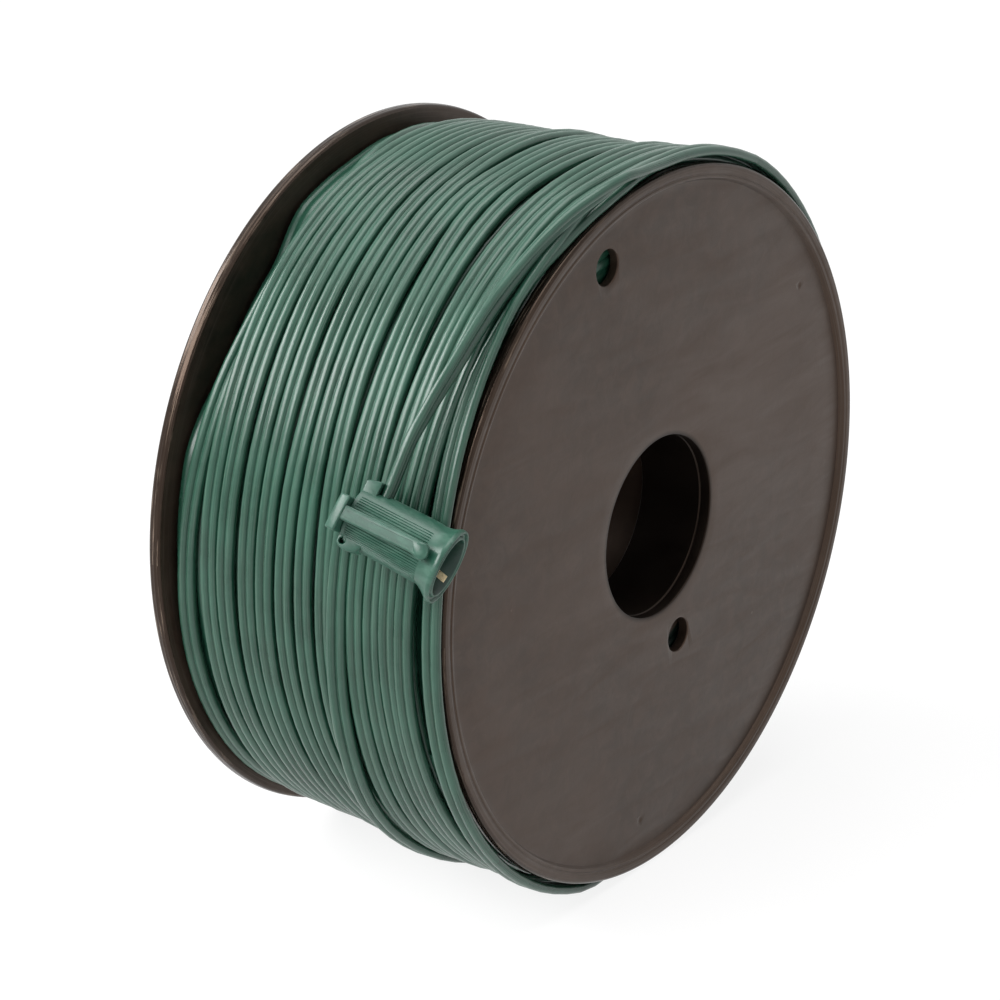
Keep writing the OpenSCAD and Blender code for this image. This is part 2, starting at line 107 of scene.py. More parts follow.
class SmoothLine:
    """A line through given points that never swings past them."""

    def __init__(self, points: Sequence[Pair]) -> None:
        """Works out a slope for each point.

        Args:
            points: places and values, in rising order of place.
        """
        self.x = [p[0] for p in points]
        self.y = [p[1] for p in points]
        n = len(points)
        step = [(self.y[i + 1] - self.y[i]) / (self.x[i + 1] - self.x[i]) for i in range(n - 1)]
        self.slope = [step[0]] + [0.0] * (n - 2) + [step[-1]]
        for i in range(1, n - 1):
            if step[i - 1] * step[i] > 0:
                a = self.x[i] - self.x[i - 1]
                b = self.x[i + 1] - self.x[i]
                self.slope[i] = (a + b) * 3 / ((2 * b + a) / step[i - 1] + (b + 2 * a) / step[i])

    def at(self, x: float) -> float:
        """The value at a place; past the ends it holds the end value.

        Args:
            x: the place.

        Returns:
            The value there.
        """
        if x <= self.x[0]:
            return self.y[0]
        if x >= self.x[-1]:
            return self.y[-1]
        i = next(k for k in range(len(self.x) - 1) if x <= self.x[k + 1])
        h = self.x[i + 1] - self.x[i]
        s = (x - self.x[i]) / h
        return (
            (1 + 2 * s) * (1 - s) ** 2 * self.y[i]
            + s * (1 - s) ** 2 * h * self.slope[i]
            + s * s * (3 - 2 * s) * self.y[i + 1]
            + s * s * (s - 1) * h * self.slope[i + 1]
        )


def wander(x: float, seed: float) -> float:
    """A slow wander between about -1 and 1 that is the same on every run."""
    return (
        math.sin(x * 1.7 + seed * 2.3) + 0.6 * math.sin(x * 3.1 + seed * 5.9) + 0.4 * math.sin(x * 6.7 + seed)
    ) / 2.0


def mesh_object(
    name: str,
    points: Iterable[Sequence[float]],
    faces: Iterable[Sequence[int]] = (),
    edges: Iterable[Sequence[int]] = (),
) -> bpy.types.Object:
    """Links a new object with the given mesh.

    Args:
        name: the piece's name.
        points: vertices in metres.
        faces: vertex numbers of each face.
        edges: vertex numbers of each loose edge.

    Returns:
        The object.
    """
    mesh = bpy.data.meshes.new(name)
    mesh.from_pydata([tuple(p) for p in points], list(edges), [tuple(f) for f in faces])
    obj = bpy.data.objects.new(name, mesh)
    bpy.context.scene.collection.objects.link(obj)
    return obj


def path_object(name: str, path: Sequence[Vector]) -> bpy.types.Object:
    """Links a new object whose mesh is one open line through points in mm."""
    return mesh_object(name, [p * MM for p in path], edges=[(i, i + 1) for i in range(len(path) - 1)])


def tidy_mesh(obj: bpy.types.Object, angle: float = 35.0, merge: float = 1e-7) -> bpy.types.Object:
    """Merges doubles, turns the faces outwards and shades smooth up to an angle.

    Args:
        obj: the piece.
        angle: edges sharper than this many degrees stay sharp.
        merge: distance under which vertices are one, in metres.

    Returns:
        The same object.
    """
    bm = bmesh.new()
    bm.from_mesh(obj.data)
    bmesh.ops.remove_doubles(bm, verts=bm.verts, dist=merge)
    bmesh.ops.dissolve_degenerate(bm, edges=bm.edges, dist=merge)
    bmesh.ops.recalc_face_normals(bm, faces=bm.faces)
    for face in bm.faces:
        face.smooth = True
    for edge in bm.edges:
        edge.smooth = len(edge.link_faces) == 2 and edge.calc_face_angle(0.0) < math.radians(angle)
    bm.to_mesh(obj.data)
    bm.free()
    return obj


def freeze(obj: bpy.types.Object) -> bpy.types.Object:
    """Turns an object's modifiers into its mesh.

    Args:
        obj: the piece with live modifiers.

    Returns:
        The same object, with a plain mesh.
    """
    bpy.context.view_layer.update()
    graph = bpy.context.evaluated_depsgraph_get()
    mesh = bpy.data.meshes.new_from_object(obj.evaluated_get(graph), depsgraph=graph)
    obj.modifiers.clear()
    obj.data = mesh
    mesh.name = obj.name
    return obj


def grow(obj: bpy.types.Object, tree: bpy.types.NodeTree, values: dict[str, object]) -> bpy.types.Object:
    """Runs a node tree on a piece and keeps the result as its mesh.

    Args:
        obj: the piece that the tree starts from.
        tree: the tree.
        values: its named inputs.

    Returns:
        The same object, with a plain mesh.
    """
    step = obj.modifiers.new(tree.name, "NODES")
    step.node_group = tree
    for item in tree.interface.items_tree:
        if item.item_type == "SOCKET" and item.in_out == "INPUT" and item.name in values:
            step[item.identifier] = values[item.name]
    return freeze(obj)


def painted(obj: bpy.types.Object, finish: bpy.types.Material) -> bpy.types.Object:
    """Gives a piece one material and no other."""
    obj.data.materials.clear()
    obj.data.materials.append(finish)
    return obj


def boolean(obj: bpy.types.Object, tool: bpy.types.Object, cut: Cut) -> bpy.types.Object:
    """Joins a tool to a piece or takes it away, and removes the tool.

    Args:
        obj: the piece.
        tool: a closed mesh.
        cut: what to do with it.

    Returns:
        The piece.
    """
    step = obj.modifiers.new("boolean", "BOOLEAN")
    step.operation = cut.value
    step.solver = "EXACT"
    step.object = tool
    freeze(obj)
    bpy.data.objects.remove(tool, do_unlink=True)
    return obj


def lathe(name: str, section: Sequence[Pair], place: Place, steps: int) -> bpy.types.Object:
    """Spins a closed section into a ring or a solid.

    Args:
        name: the piece's name.
        section: (radius, height) points round the section, mm. Points on the axis close it there.
        place: turns radius, angle in degrees and height into a point in mm.
        steps: number of steps round.

    Returns:
        The object.
    """
    points: list[Vector] = []
    count = len(section)
    for i in range(steps):
        points += [place(r, 360.0 * i / steps, h) * MM for r, h in section]
    faces = []
    for i in range(steps):
        a, b = i * count, ((i + 1) % steps) * count
        for j in range(count):
            k = (j + 1) % count
            if section[j][0] < 1e-6 and section[k][0] < 1e-6:
                continue
            faces.append((a + j, a + k, b + k, b + j))
    return tidy_mesh(mesh_object(name, points, faces), 30.0)


def prism(
    name: str, outline: Sequence[Pair], low: float, high: float, put: Place, edge: float = 0.0, segments: int = 3
) -> bpy.types.Object:
    """A slab with the given outline and softened edges.

    Args:
        name: the piece's name.
        outline: points (a, b) round the outline, mm.
        low: where it starts across the outline.
        high: where it ends.
        put: turns (a, b, across) into a point in mm.
        edge: radius of the softened edges, mm.
        segments: steps of the softening.

    Returns:
        The slab.
    """
    n = len(outline)
    points = [put(a, b, c) * MM for c in (low, high) for a, b in outline]
    faces = [tuple(range(n)), tuple(range(2 * n - 1, n - 1, -1))]
    faces += [(i, (i + 1) % n, n + (i + 1) % n, n + i) for i in range(n)]
    obj = tidy_mesh(mesh_object(name, points, faces), 30.0)
    if edge > 0:
        step = obj.modifiers.new("edge", "BEVEL")
        step.width = edge * MM
        step.segments = segments
        step.limit_method = "ANGLE"
        step.angle_limit = math.radians(40)
        step.use_clamp_overlap = True
        freeze(obj)
    return obj


def arc(cx: float, cy: float, radius: float, start: float, end: float, steps: int) -> list[Pair]:
    """Points on an arc.

    Args:
        cx: centre, first coordinate.
        cy: centre, second coordinate.
        radius: its radius.
        start: first angle in degrees.
        end: last angle in degrees.
        steps: number of steps between them.

    Returns:
        The points, with both ends.
    """
    angles = [math.radians(start + (end - start) * i / steps) for i in range(steps + 1)]
    return [(cx + radius * math.cos(a), cy + radius * math.sin(a)) for a in angles]


# ---- finishes ----


class TreeLayout:
    """Adds nodes to one tree and links them."""

    def __init__(self, tree: bpy.types.NodeTree) -> None:
        """Takes over a tree and empties it.

        Args:
            tree: the tree that the nodes go into.
        """
        self.tree = tree
        tree.nodes.clear()

    def add(self, kind: str, inputs: Optional[dict] = None, **settings: object) -> bpy.types.Node:
        """Adds a node.

        Args:
            kind: the node's type.
            inputs: socket name or number to a value or an output socket.
            settings: the node's own settings.

        Returns:
            The node.
        """
        node = self.tree.nodes.new(kind)
        for key, value in settings.items():
            setattr(node, key, value)
        for key, value in (inputs or {}).items():
            if isinstance(value, bpy.types.NodeSocket):
                self.tree.links.new(value, node.inputs[key])
            else:
                node.inputs[key].default_value = value
        return node

    def math(self, kind: str, a: object, b: object = 0.0) -> bpy.types.NodeSocket:
        """One arithmetic step."""
        return self.add("ShaderNodeMath", {0: a, 1: b}, operation=kind).outputs[0]

    def times(self, a: object, b: object) -> bpy.types.NodeSocket:
        """One value times another."""
        return self.math("MULTIPLY", a, b)

    def vector(self, x: object, y: object, z: object = 0.0) -> bpy.types.NodeSocket:
        """A vector from its parts."""
        return self.add("ShaderNodeCombineXYZ", {0: x, 1: y, 2: z}).outputs[0]

    def parts(self, vector: bpy.types.NodeSocket) -> bpy.types.bpy_prop_collection:
        """The three parts of a vector."""
        return self.add("ShaderNodeSeparateXYZ", {0: vector}).outputs

    def span(
        self, value: bpy.types.NodeSocket, low: float, high: float, out_low: float, out_high: float
    ) -> bpy.types.NodeSocket:
        """Maps a value from one range to another, held at its ends."""
        return self.add(
            "ShaderNodeMapRange",
            {"Value": value, "From Min": low, "From Max": high, "To Min": out_low, "To Max": out_high},
        ).outputs[0]

    def seen_rays(self) -> bpy.types.NodeSocket:
        """1 for camera, mirror and glass rays, 0 for rays that only light."""
        path = self.add("ShaderNodeLightPath").outputs
        mirrored = self.math("MAXIMUM", path["Is Glossy Ray"], path["Is Transmission Ray"])
        return self.math("MAXIMUM", path["Is Camera Ray"], mirrored)


class GeometryLayout(TreeLayout):
    """Lays out one Geometry Nodes tree, which ends in realised geometry of one material."""

    def __init__(self, name: str, inputs: dict[str, str]) -> None:
        """Makes the tree with its sockets.

        Args:
            name: its name.
            inputs: the kind of each named input, besides the geometry and the finish.
        """
        super().__init__(bpy.data.node_groups.new(name, "GeometryNodeTree"))
        face = self.tree.interface
        face.new_socket("Geometry", in_out="OUTPUT", socket_type="NodeSocketGeometry")
        for label, kind in {"Geometry": "Geometry", **inputs, "Finish": "Material"}.items():
            face.new_socket(label, in_out="INPUT", socket_type=f"NodeSocket{kind}")
        self.source = self.add("NodeGroupInput").outputs

    def keep(self, geometry: bpy.types.NodeSocket, name: str, kind: str, value: object) -> bpy.types.NodeSocket:
        """Stores a value on the points under a name that the finishes read."""
        return self.add(
            "GeometryNodeStoreNamedAttribute",
            {"Geometry": geometry, "Name": name, "Value": value}, data_type=kind, domain="POINT",
        ).outputs[0]

    def close(self, geometry: bpy.types.NodeSocket) -> bpy.types.NodeTree:
        """Realises and paints the geometry, and sends it to the output."""
        real = self.add("GeometryNodeRealizeInstances", {0: geometry}).outputs[0]
        paint = self.add("GeometryNodeSetMaterial", {"Geometry": real, "Material": self.source["Finish"]})
        self.add("NodeGroupOutput", {0: paint.outputs[0]})
        return self.tree


class Nodes(TreeLayout):
    """Lays out the nodes of one material."""

    def __init__(self, name: str) -> None:
        """Makes the material.

        Args:
            name: its name.
        """
        self.material = bpy.data.materials.new(name)
        self.material.use_nodes = True
        super().__init__(self.material.node_tree)

    def here(self) -> bpy.types.NodeSocket:
        """Object coordinates."""
        return self.add("ShaderNodeTexCoord").outputs["Object"]

    def attribute(self, name: str, output: str = "Fac") -> bpy.types.NodeSocket:
        """A value that the mesh keeps under a name."""
        return self.add("ShaderNodeAttribute", attribute_name=name).outputs[output]

    def place(self, scale: Sequence[float] = (1, 1, 1), turn: Sequence[float] = (0, 0, 0)) -> bpy.types.NodeSocket:
        """Object coordinates, stretched and turned.

        Args:
            scale: factor on each axis.
            turn: turn about each axis in degrees.

        Returns:
            The vector socket.
        """
        inputs = {"Vector": self.here(), "Rotation": [math.radians(a) for a in turn], "Scale": list(scale)}
        return self.add("ShaderNodeMapping", inputs).outputs[0]

    def noise(
        self, where: bpy.types.NodeSocket, scale: float, detail: float = 4, rough: float = 0.55, bend: float = 0.0
    ) -> bpy.types.NodeSocket:
        """A noise value.

        Args:
            where: the place it is read at.
            scale: features per metre.
            detail: octaves.
            rough: weight of the finer octaves.
            bend: distortion.

        Returns:
            The value socket.
        """
        return self.add(
            "ShaderNodeTexNoise",
            {"Vector": where, "Scale": scale, "Detail": detail, "Roughness": rough, "Distortion": bend},
        ).outputs["Fac"]

    def round_axis(self) -> tuple[bpy.types.NodeSocket, bpy.types.NodeSocket, bpy.types.NodeSocket]:
        """Distance from the reel's axis, angle about it in radians, and place along it."""
        x, y, z = self.parts(self.here())
        radius = self.math("SQRT", self.math("ADD", self.times(x, x), self.times(z, z)))
        return radius, self.math("ARCTAN2", z, x), y

    def mix(self, factor: object, first: object, second: object) -> bpy.types.NodeSocket:
        """Mixes two colours.

        Args:
            factor: share of the second.
            first: colour or socket.
            second: colour or socket.

        Returns:
            The colour socket.
        """
        node = self.tree.nodes.new("ShaderNodeMix")
        node.data_type = "RGBA"
        for index, value in ((0, factor), (6, first), (7, second)):
            if isinstance(value, bpy.types.NodeSocket):
                self.tree.links.new(value, node.inputs[index])
            else:
                node.inputs[index].default_value = value if index == 0 else (*value, 1.0)
        return node.outputs[2]

    def bump(
        self, height: bpy.types.NodeSocket, distance: float, strength: float,
        under: Optional[bpy.types.NodeSocket] = None,
    ) -> bpy.types.NodeSocket:
        """A bump normal.

        Args:
            height: the height value.
            distance: real height of one unit, in metres.
            strength: how much of it is used.
            under: a normal that it adds to.

        Returns:
            The normal socket.
        """
        inputs = {"Height": height, "Distance": distance, "Strength": strength}
        if under is not None:
            inputs["Normal"] = under
        return self.add("ShaderNodeBump", inputs).outputs[0]

    def principled(self, inputs: dict) -> bpy.types.Material:
        """Ends the material with one principled shader."""
        return self.finish(self.add("ShaderNodeBsdfPrincipled", inputs).outputs[0])

    def finish(self, shader: bpy.types.NodeSocket) -> bpy.types.Material:
        """Links the shader to the output and returns the material."""
        self.add("ShaderNodeOutputMaterial", {"Surface": shader})
        return self.material


@dataclass(frozen=True)
class ReelPlastic:
    """Satin recycled moulding plastic of the reel, nearly black with a warm cast."""

    name: str = "reel_plastic"
    dark: Triple = (0.0085, 0.0060, 0.0047)
    light: Triple = (0.0360, 0.0225, 0.0165)
    scuff: Triple = (0.080, 0.066, 0.056)
    # painted highlight: warm light streaks on the rim's outer rounding
    painted_glint: Triple = (0.26, 0.20, 0.155)
    # painted shade: near black laid on the bore and the rim's outer edge
    painted_shade: Triple = (0.0035, 0.0025, 0.0020)
    rough: float = 0.40
    specular: float = 0.57
    tint: tuple[float, float, float, float] = (1.0, 0.72, 0.56, 1.0)
    # radii in metres over which the rim's land and edge begin and the hub's inside ends; the hub's inside and, in part,
    # the edge take painted shade
    land_from: Pair = (0.0950, 0.0957)
    edge_from: Pair = (0.0993, 0.1000)
    hub_to: Pair = (0.0258, 0.0270)

    def material(self) -> bpy.types.Material:
        """Builds the material."""
        n = Nodes(self.name)
        here = n.place()
        cloud = n.noise(here, 14.0, 3, 0.5)
        mottle = n.noise(here, 170.0, 5, 0.68, 0.6)
        flow = n.noise(n.place((1, 1, 5), (0, 32, 0)), 26.0, 5, 0.62, 1.2)
        grain = n.noise(here, 1500.0, 2, 0.5)
        rub = n.noise(n.place((1, 1, 7), (0, -38, 0)), 46.0, 6, 0.7, 0.8)
        fleck = n.add("ShaderNodeTexVoronoi", {"Vector": here, "Scale": 75.0}, feature="F1").outputs["Distance"]
        patches = n.span(n.noise(here, 60.0, 2, 0.5), 0.5, 0.62, 0.0, 0.6)
        dust = n.times(n.span(fleck, 0.022, 0.04, 1.0, 0.0), patches)
        radius, angle, across = n.round_axis()
        land = n.span(radius, *self.land_from, 0.0, 1.0)
        edge = n.span(radius, *self.edge_from, 0.0, 1.0)
        inside = n.span(radius, *self.hub_to, 1.0, 0.0)
        # fine turned lines on the raised land; painted highlight streaks, warm and light, on the outer edge
        turned = n.noise(n.vector(radius, n.times(angle, 0.0006), across), 4200.0, 2, 0.6)
        drawn = n.noise(n.vector(n.times(angle, 0.0035), across), 1700.0, 4, 0.62)
        body = n.mix(n.span(cloud, 0.4, 0.62, 0.0, 0.8), self.dark, self.light)
        body = n.mix(n.span(mottle, 0.40, 0.66, 0.0, 0.6), body, self.light)
        body = n.mix(n.span(flow, 0.45, 0.75, 0.0, 0.45), body, self.light)
        rubbed = n.span(rub, 0.6, 0.78, 0.0, 0.26)
        body = n.mix(rubbed, body, self.scuff)
        body = n.mix(dust, body, self.scuff)
        body = n.mix(n.times(land, n.span(turned, 0.46, 0.72, 0.0, 0.55)), body, self.scuff)
        # painted shade: the bore's inside fully and the rim's outer edge at 0.62 go towards near black, and their
        # specular drops with it
        shade = n.math("MAXIMUM", inside, n.times(edge, 0.62))
        body = n.mix(shade, body, self.painted_shade)
        # painted highlight: warm streaks along the rim's outer rounding, over the painted shade
        body = n.mix(n.times(edge, n.span(drawn, 0.56, 0.72, 0.0, 0.7)), body, self.painted_glint)
        rough = n.span(flow, 0.3, 0.7, self.rough - 0.08, self.rough + 0.09)
        rough = n.math("ADD", rough, n.times(rubbed, 0.35))
        rough = n.math("SUBTRACT", rough, n.times(edge, 0.22))
        normal = n.bump(grain, 0.000012, 0.5)
        normal = n.bump(mottle, 0.00012, 0.35, normal)
        normal = n.bump(cloud, 0.0006, 0.25, normal)
        return n.principled({
            "Base Color": body,
            "Roughness": rough,
            "Normal": normal,
            "Specular IOR Level": n.span(shade, 0.0, 1.0, self.specular, self.specular * 0.45),
            "Specular Tint": self.tint,
            "IOR": 1.46,
        })


@dataclass(frozen=True)
class CordSheath:
    """Soft green vinyl sheath with faint draw lines along the cord."""

    name: str = "cord_sheath"
    deep: Triple = (0.0105, 0.052, 0.032)
    plain: Triple = (0.019, 0.078, 0.050)
    bloom: Triple = (0.13, 0.20, 0.15)
    shaded: Triple = (0.002, 0.005, 0.004)
    rough: float = 0.28
    specular: float = 0.50
    # radii in metres between which the pile turns from dark at the drum to its full colour
    shade_to: Pair = (0.0435, 0.0465)

    def material(self) -> bpy.types.Material:
        """Builds the material; the draw lines follow the cord's own section attribute."""
        n = Nodes(self.name)
        here = n.place()
        across, through, _ = n.parts(n.attribute("section", "Vector"))
        lines = n.vector(across, through, n.times(n.attribute("along"), 0.012))
        drawn = n.noise(lines, 3200.0, 3, 0.6)
        cloud = n.noise(here, 55.0, 4, 0.55)
        dust = n.noise(here, 900.0, 5, 0.7)
        body = n.mix(n.span(cloud, 0.35, 0.68, 0.0, 1.0), self.deep, self.plain)
        body = n.mix(n.span(drawn, 0.5, 0.76, 0.0, 0.34), body, self.bloom)
        body = n.mix(n.span(dust, 0.62, 0.8, 0.0, 0.35), body, self.bloom)
        body = n.mix(n.span(n.round_axis()[0], *self.shade_to, 0.95, 0.0), body, self.shaded)
        rough = n.span(n.math("ADD", cloud, drawn), 0.7, 1.3, self.rough - 0.05, self.rough + 0.1)
        normal = n.bump(drawn, 0.00004, 0.5)
        normal = n.bump(n.noise(here, 160.0, 2, 0.5), 0.00012, 0.35, normal)
        return n.principled({
            "Base Color": body, "Roughness": rough, "Normal": normal,
            "Specular IOR Level": self.specular, "IOR": 1.5,
        })


@dataclass(frozen=True)
class HolderPlastic:
    """Moulded green plastic of the lampholder, a little lighter than the cord."""

    name: str = "holder_plastic"
    deep: Triple = (0.0120, 0.061, 0.039)
    plain: Triple = (0.0215, 0.088, 0.058)
    pale: Triple = (0.15, 0.27, 0.21)
    # painted shade inside the mouth
    painted_mouth_shade: Triple = (0.006, 0.032, 0.022)
    rough: float = 0.34
    specular: float = 0.5

    def material(self) -> bpy.types.Material:
        """Builds the material, with painted shade where the mesh is marked as inside the mouth."""
        n = Nodes(self.name)
        here = n.place()
        cloud = n.noise(here, 150.0, 4, 0.55, 0.6)
        flow = n.noise(n.place((1, 0.25, 1)), 520.0, 4, 0.6, 0.5)
        grain = n.noise(here, 5200.0, 3, 0.6)
        body = n.mix(n.span(cloud, 0.35, 0.66, 0.0, 1.0), self.deep, self.plain)
        body = n.mix(n.span(flow, 0.5, 0.8, 0.0, 0.25), body, self.pale)
        body = n.mix(n.span(grain, 0.66, 0.8, 0.0, 0.3), body, self.pale)
        # painted shade: the walls inside the mouth go towards a dark green
        body = n.mix(n.times(n.attribute("inside"), 0.85), body, self.painted_mouth_shade)
        rough = n.span(flow, 0.3, 0.7, self.rough - 0.06, self.rough + 0.09)
        normal = n.bump(grain, 0.00001, 0.5)
        normal = n.bump(cloud, 0.00012, 0.5, normal)
        return n.principled({
            "Base Color": body, "Roughness": rough, "Normal": normal,
            "Specular IOR Level": self.specular, "IOR": 1.49,
        })


@dataclass(frozen=True)
class ContactBrass:
    """Plain rolled brass strip, a little dull."""

    name: str = "contact_brass"
    bright: Triple = (0.86, 0.72, 0.46)
    dull: Triple = (0.55, 0.42, 0.24)

    def material(self) -> bpy.types.Material:
        """Builds the material."""
        n = Nodes(self.name)
        stain = n.noise(n.place(), 700.0, 4, 0.6)
        roll = n.noise(n.place((1, 0.05, 1)), 4000.0, 2, 0.5)
        body = n.mix(n.span(stain, 0.35, 0.7, 0.0, 0.7), self.bright, self.dull)
        rough = n.span(n.math("ADD", stain, roll), 0.7, 1.3, 0.22, 0.42)
        normal = n.bump(roll, 0.00001, 0.4)
        return n.principled({"Base Color": body, "Roughness": rough, "Normal": normal, "Metallic": 1.0})


@dataclass(frozen=True)
class StudioWhite:
    """White paper sweep that keeps a soft shadow."""

    name: str = "studio_white"
    low: Triple = (0.86, 0.86, 0.86)
    high: Triple = (0.88, 0.88, 0.88)
    share: float = 0.8
    glow: float = 1.08

    def material(self) -> bpy.types.Material:
        """Builds the material; camera, mirror and glass rays see it near white."""
        n = Nodes(self.name)
        paper = n.mix(n.span(n.noise(n.place(), 40.0, 3), 0.3, 0.7, 0.0, 1.0), self.low, self.high)
        matt = n.add("ShaderNodeBsdfDiffuse", {"Color": paper})
        glow = n.add("ShaderNodeEmission", {"Color": (1, 1, 1, 1), "Strength": self.glow})
        seen = n.times(n.seen_rays(), self.share)
        mixed = n.add("ShaderNodeMixShader", {0: seen, 1: matt.outputs[0], 2: glow.outputs[0]})
        return n.finish(mixed.outputs[0])


# ---- cord sweeps ----


@dataclass
class FlatCord:
    """Flat two-core cord: two round lobes joined by a thin web, swept along a path by nodes."""

    width: float = 5.6
    web: float = 0.42
    section_steps: int = 32
    # the lobes are a little thinner than they are wide
    flat: float = 0.955
    tree: Optional[bpy.types.NodeTree] = None

    def build_tree(self) -> bpy.types.NodeTree:
        """Builds the sweep's node tree.

        Returns:
            The node tree, with named inputs for the lobe's radius, the web and the finish.
        """
        g = GeometryLayout("flat_cord_sweep", {"Lobe Radius": "Float", "Web Half": "Float", "Section Steps": "Int"})
        # path with its outward side
        curve = g.add("GeometryNodeMeshToCurve", {"Mesh": g.source["Geometry"]})
        side = g.add("GeometryNodeInputNamedAttribute", {"Name": "outward"}, data_type="FLOAT_VECTOR")
        turned = g.add(
            "GeometryNodeSetCurveNormal", {"Curve": curve.outputs[0], "Normal": side.outputs[0]}, mode="FREE"
        )
        length = g.add("GeometryNodeSplineParameter").outputs["Length"]
        path = g.keep(turned.outputs[0], "along", "FLOAT", length)
        # section: r = sqrt((2 a cos)^2 + (w sin)^2)
        ring = g.add(
            "GeometryNodeCurvePrimitiveCircle", {"Radius": 1.0, "Resolution": g.source["Section Steps"]}, mode="RADIUS"
        )
        cos, sin, _ = g.parts(g.add("GeometryNodeInputPosition").outputs[0])
        wide = g.times(g.times(g.source["Lobe Radius"], 2.0), cos)
        thin = g.times(g.source["Web Half"], sin)
        reach = g.math("SQRT", g.math("ADD", g.times(wide, wide), g.times(thin, thin)))
        spot = g.vector(g.times(g.times(reach, sin), self.flat), g.times(reach, cos))
        shape = g.add("GeometryNodeSetPosition", {"Geometry": ring.outputs[0], "Position": spot}).outputs[0]
        placed = g.add("GeometryNodeInputPosition").outputs[0]
        section = g.keep(shape, "section", "FLOAT_VECTOR", placed)
        sweep = g.add("GeometryNodeCurveToMesh", {"Curve": path, "Profile Curve": section, "Fill Caps": True})
        return g.close(sweep.outputs[0])

    def sweep(
        self, name: str, path: Sequence[Vector], sides: Sequence[Vector], finish: bpy.types.Material, steps: int = 0
    ) -> bpy.types.Object:
        """Sweeps the cord along a path.

        Args:
            name: the piece's name.
            path: the middle of the cord, mm.
            sides: the direction its flat side faces at each point.
            finish: its material.
            steps: points round the section, 0 for the usual number.

        Returns:
            The cord as a plain mesh.
        """
        self.tree = self.tree or self.build_tree()
        obj = path_object(name, path)
        kept = obj.data.attributes.new("outward", "FLOAT_VECTOR", "POINT")
        for i, side in enumerate(sides):
            kept.data[i].vector = side.normalized()
        grow(obj, self.tree, {
            "Lobe Radius": self.width / 4 * MM,
            "Web Half": self.web * MM,
            "Section Steps": steps or self.section_steps,
            "Finish": finish,
        })
        bm = bmesh.new()
        bm.from_mesh(obj.data)
        bmesh.ops.recalc_face_normals(bm, faces=bm.faces)
        for face in bm.faces:
            face.smooth = len(face.verts) == 4
        bm.to_mesh(obj.data)
        bm.free()
        return obj


# ---- the wound cord ----


def on_turn(turn: int, pairs: Iterable[Pair]) -> list[Pair]:
    """Points of one turn: from (degrees, value) to (turns, value)."""
    return [(turn + angle / 360, value) for angle, value in pairs]


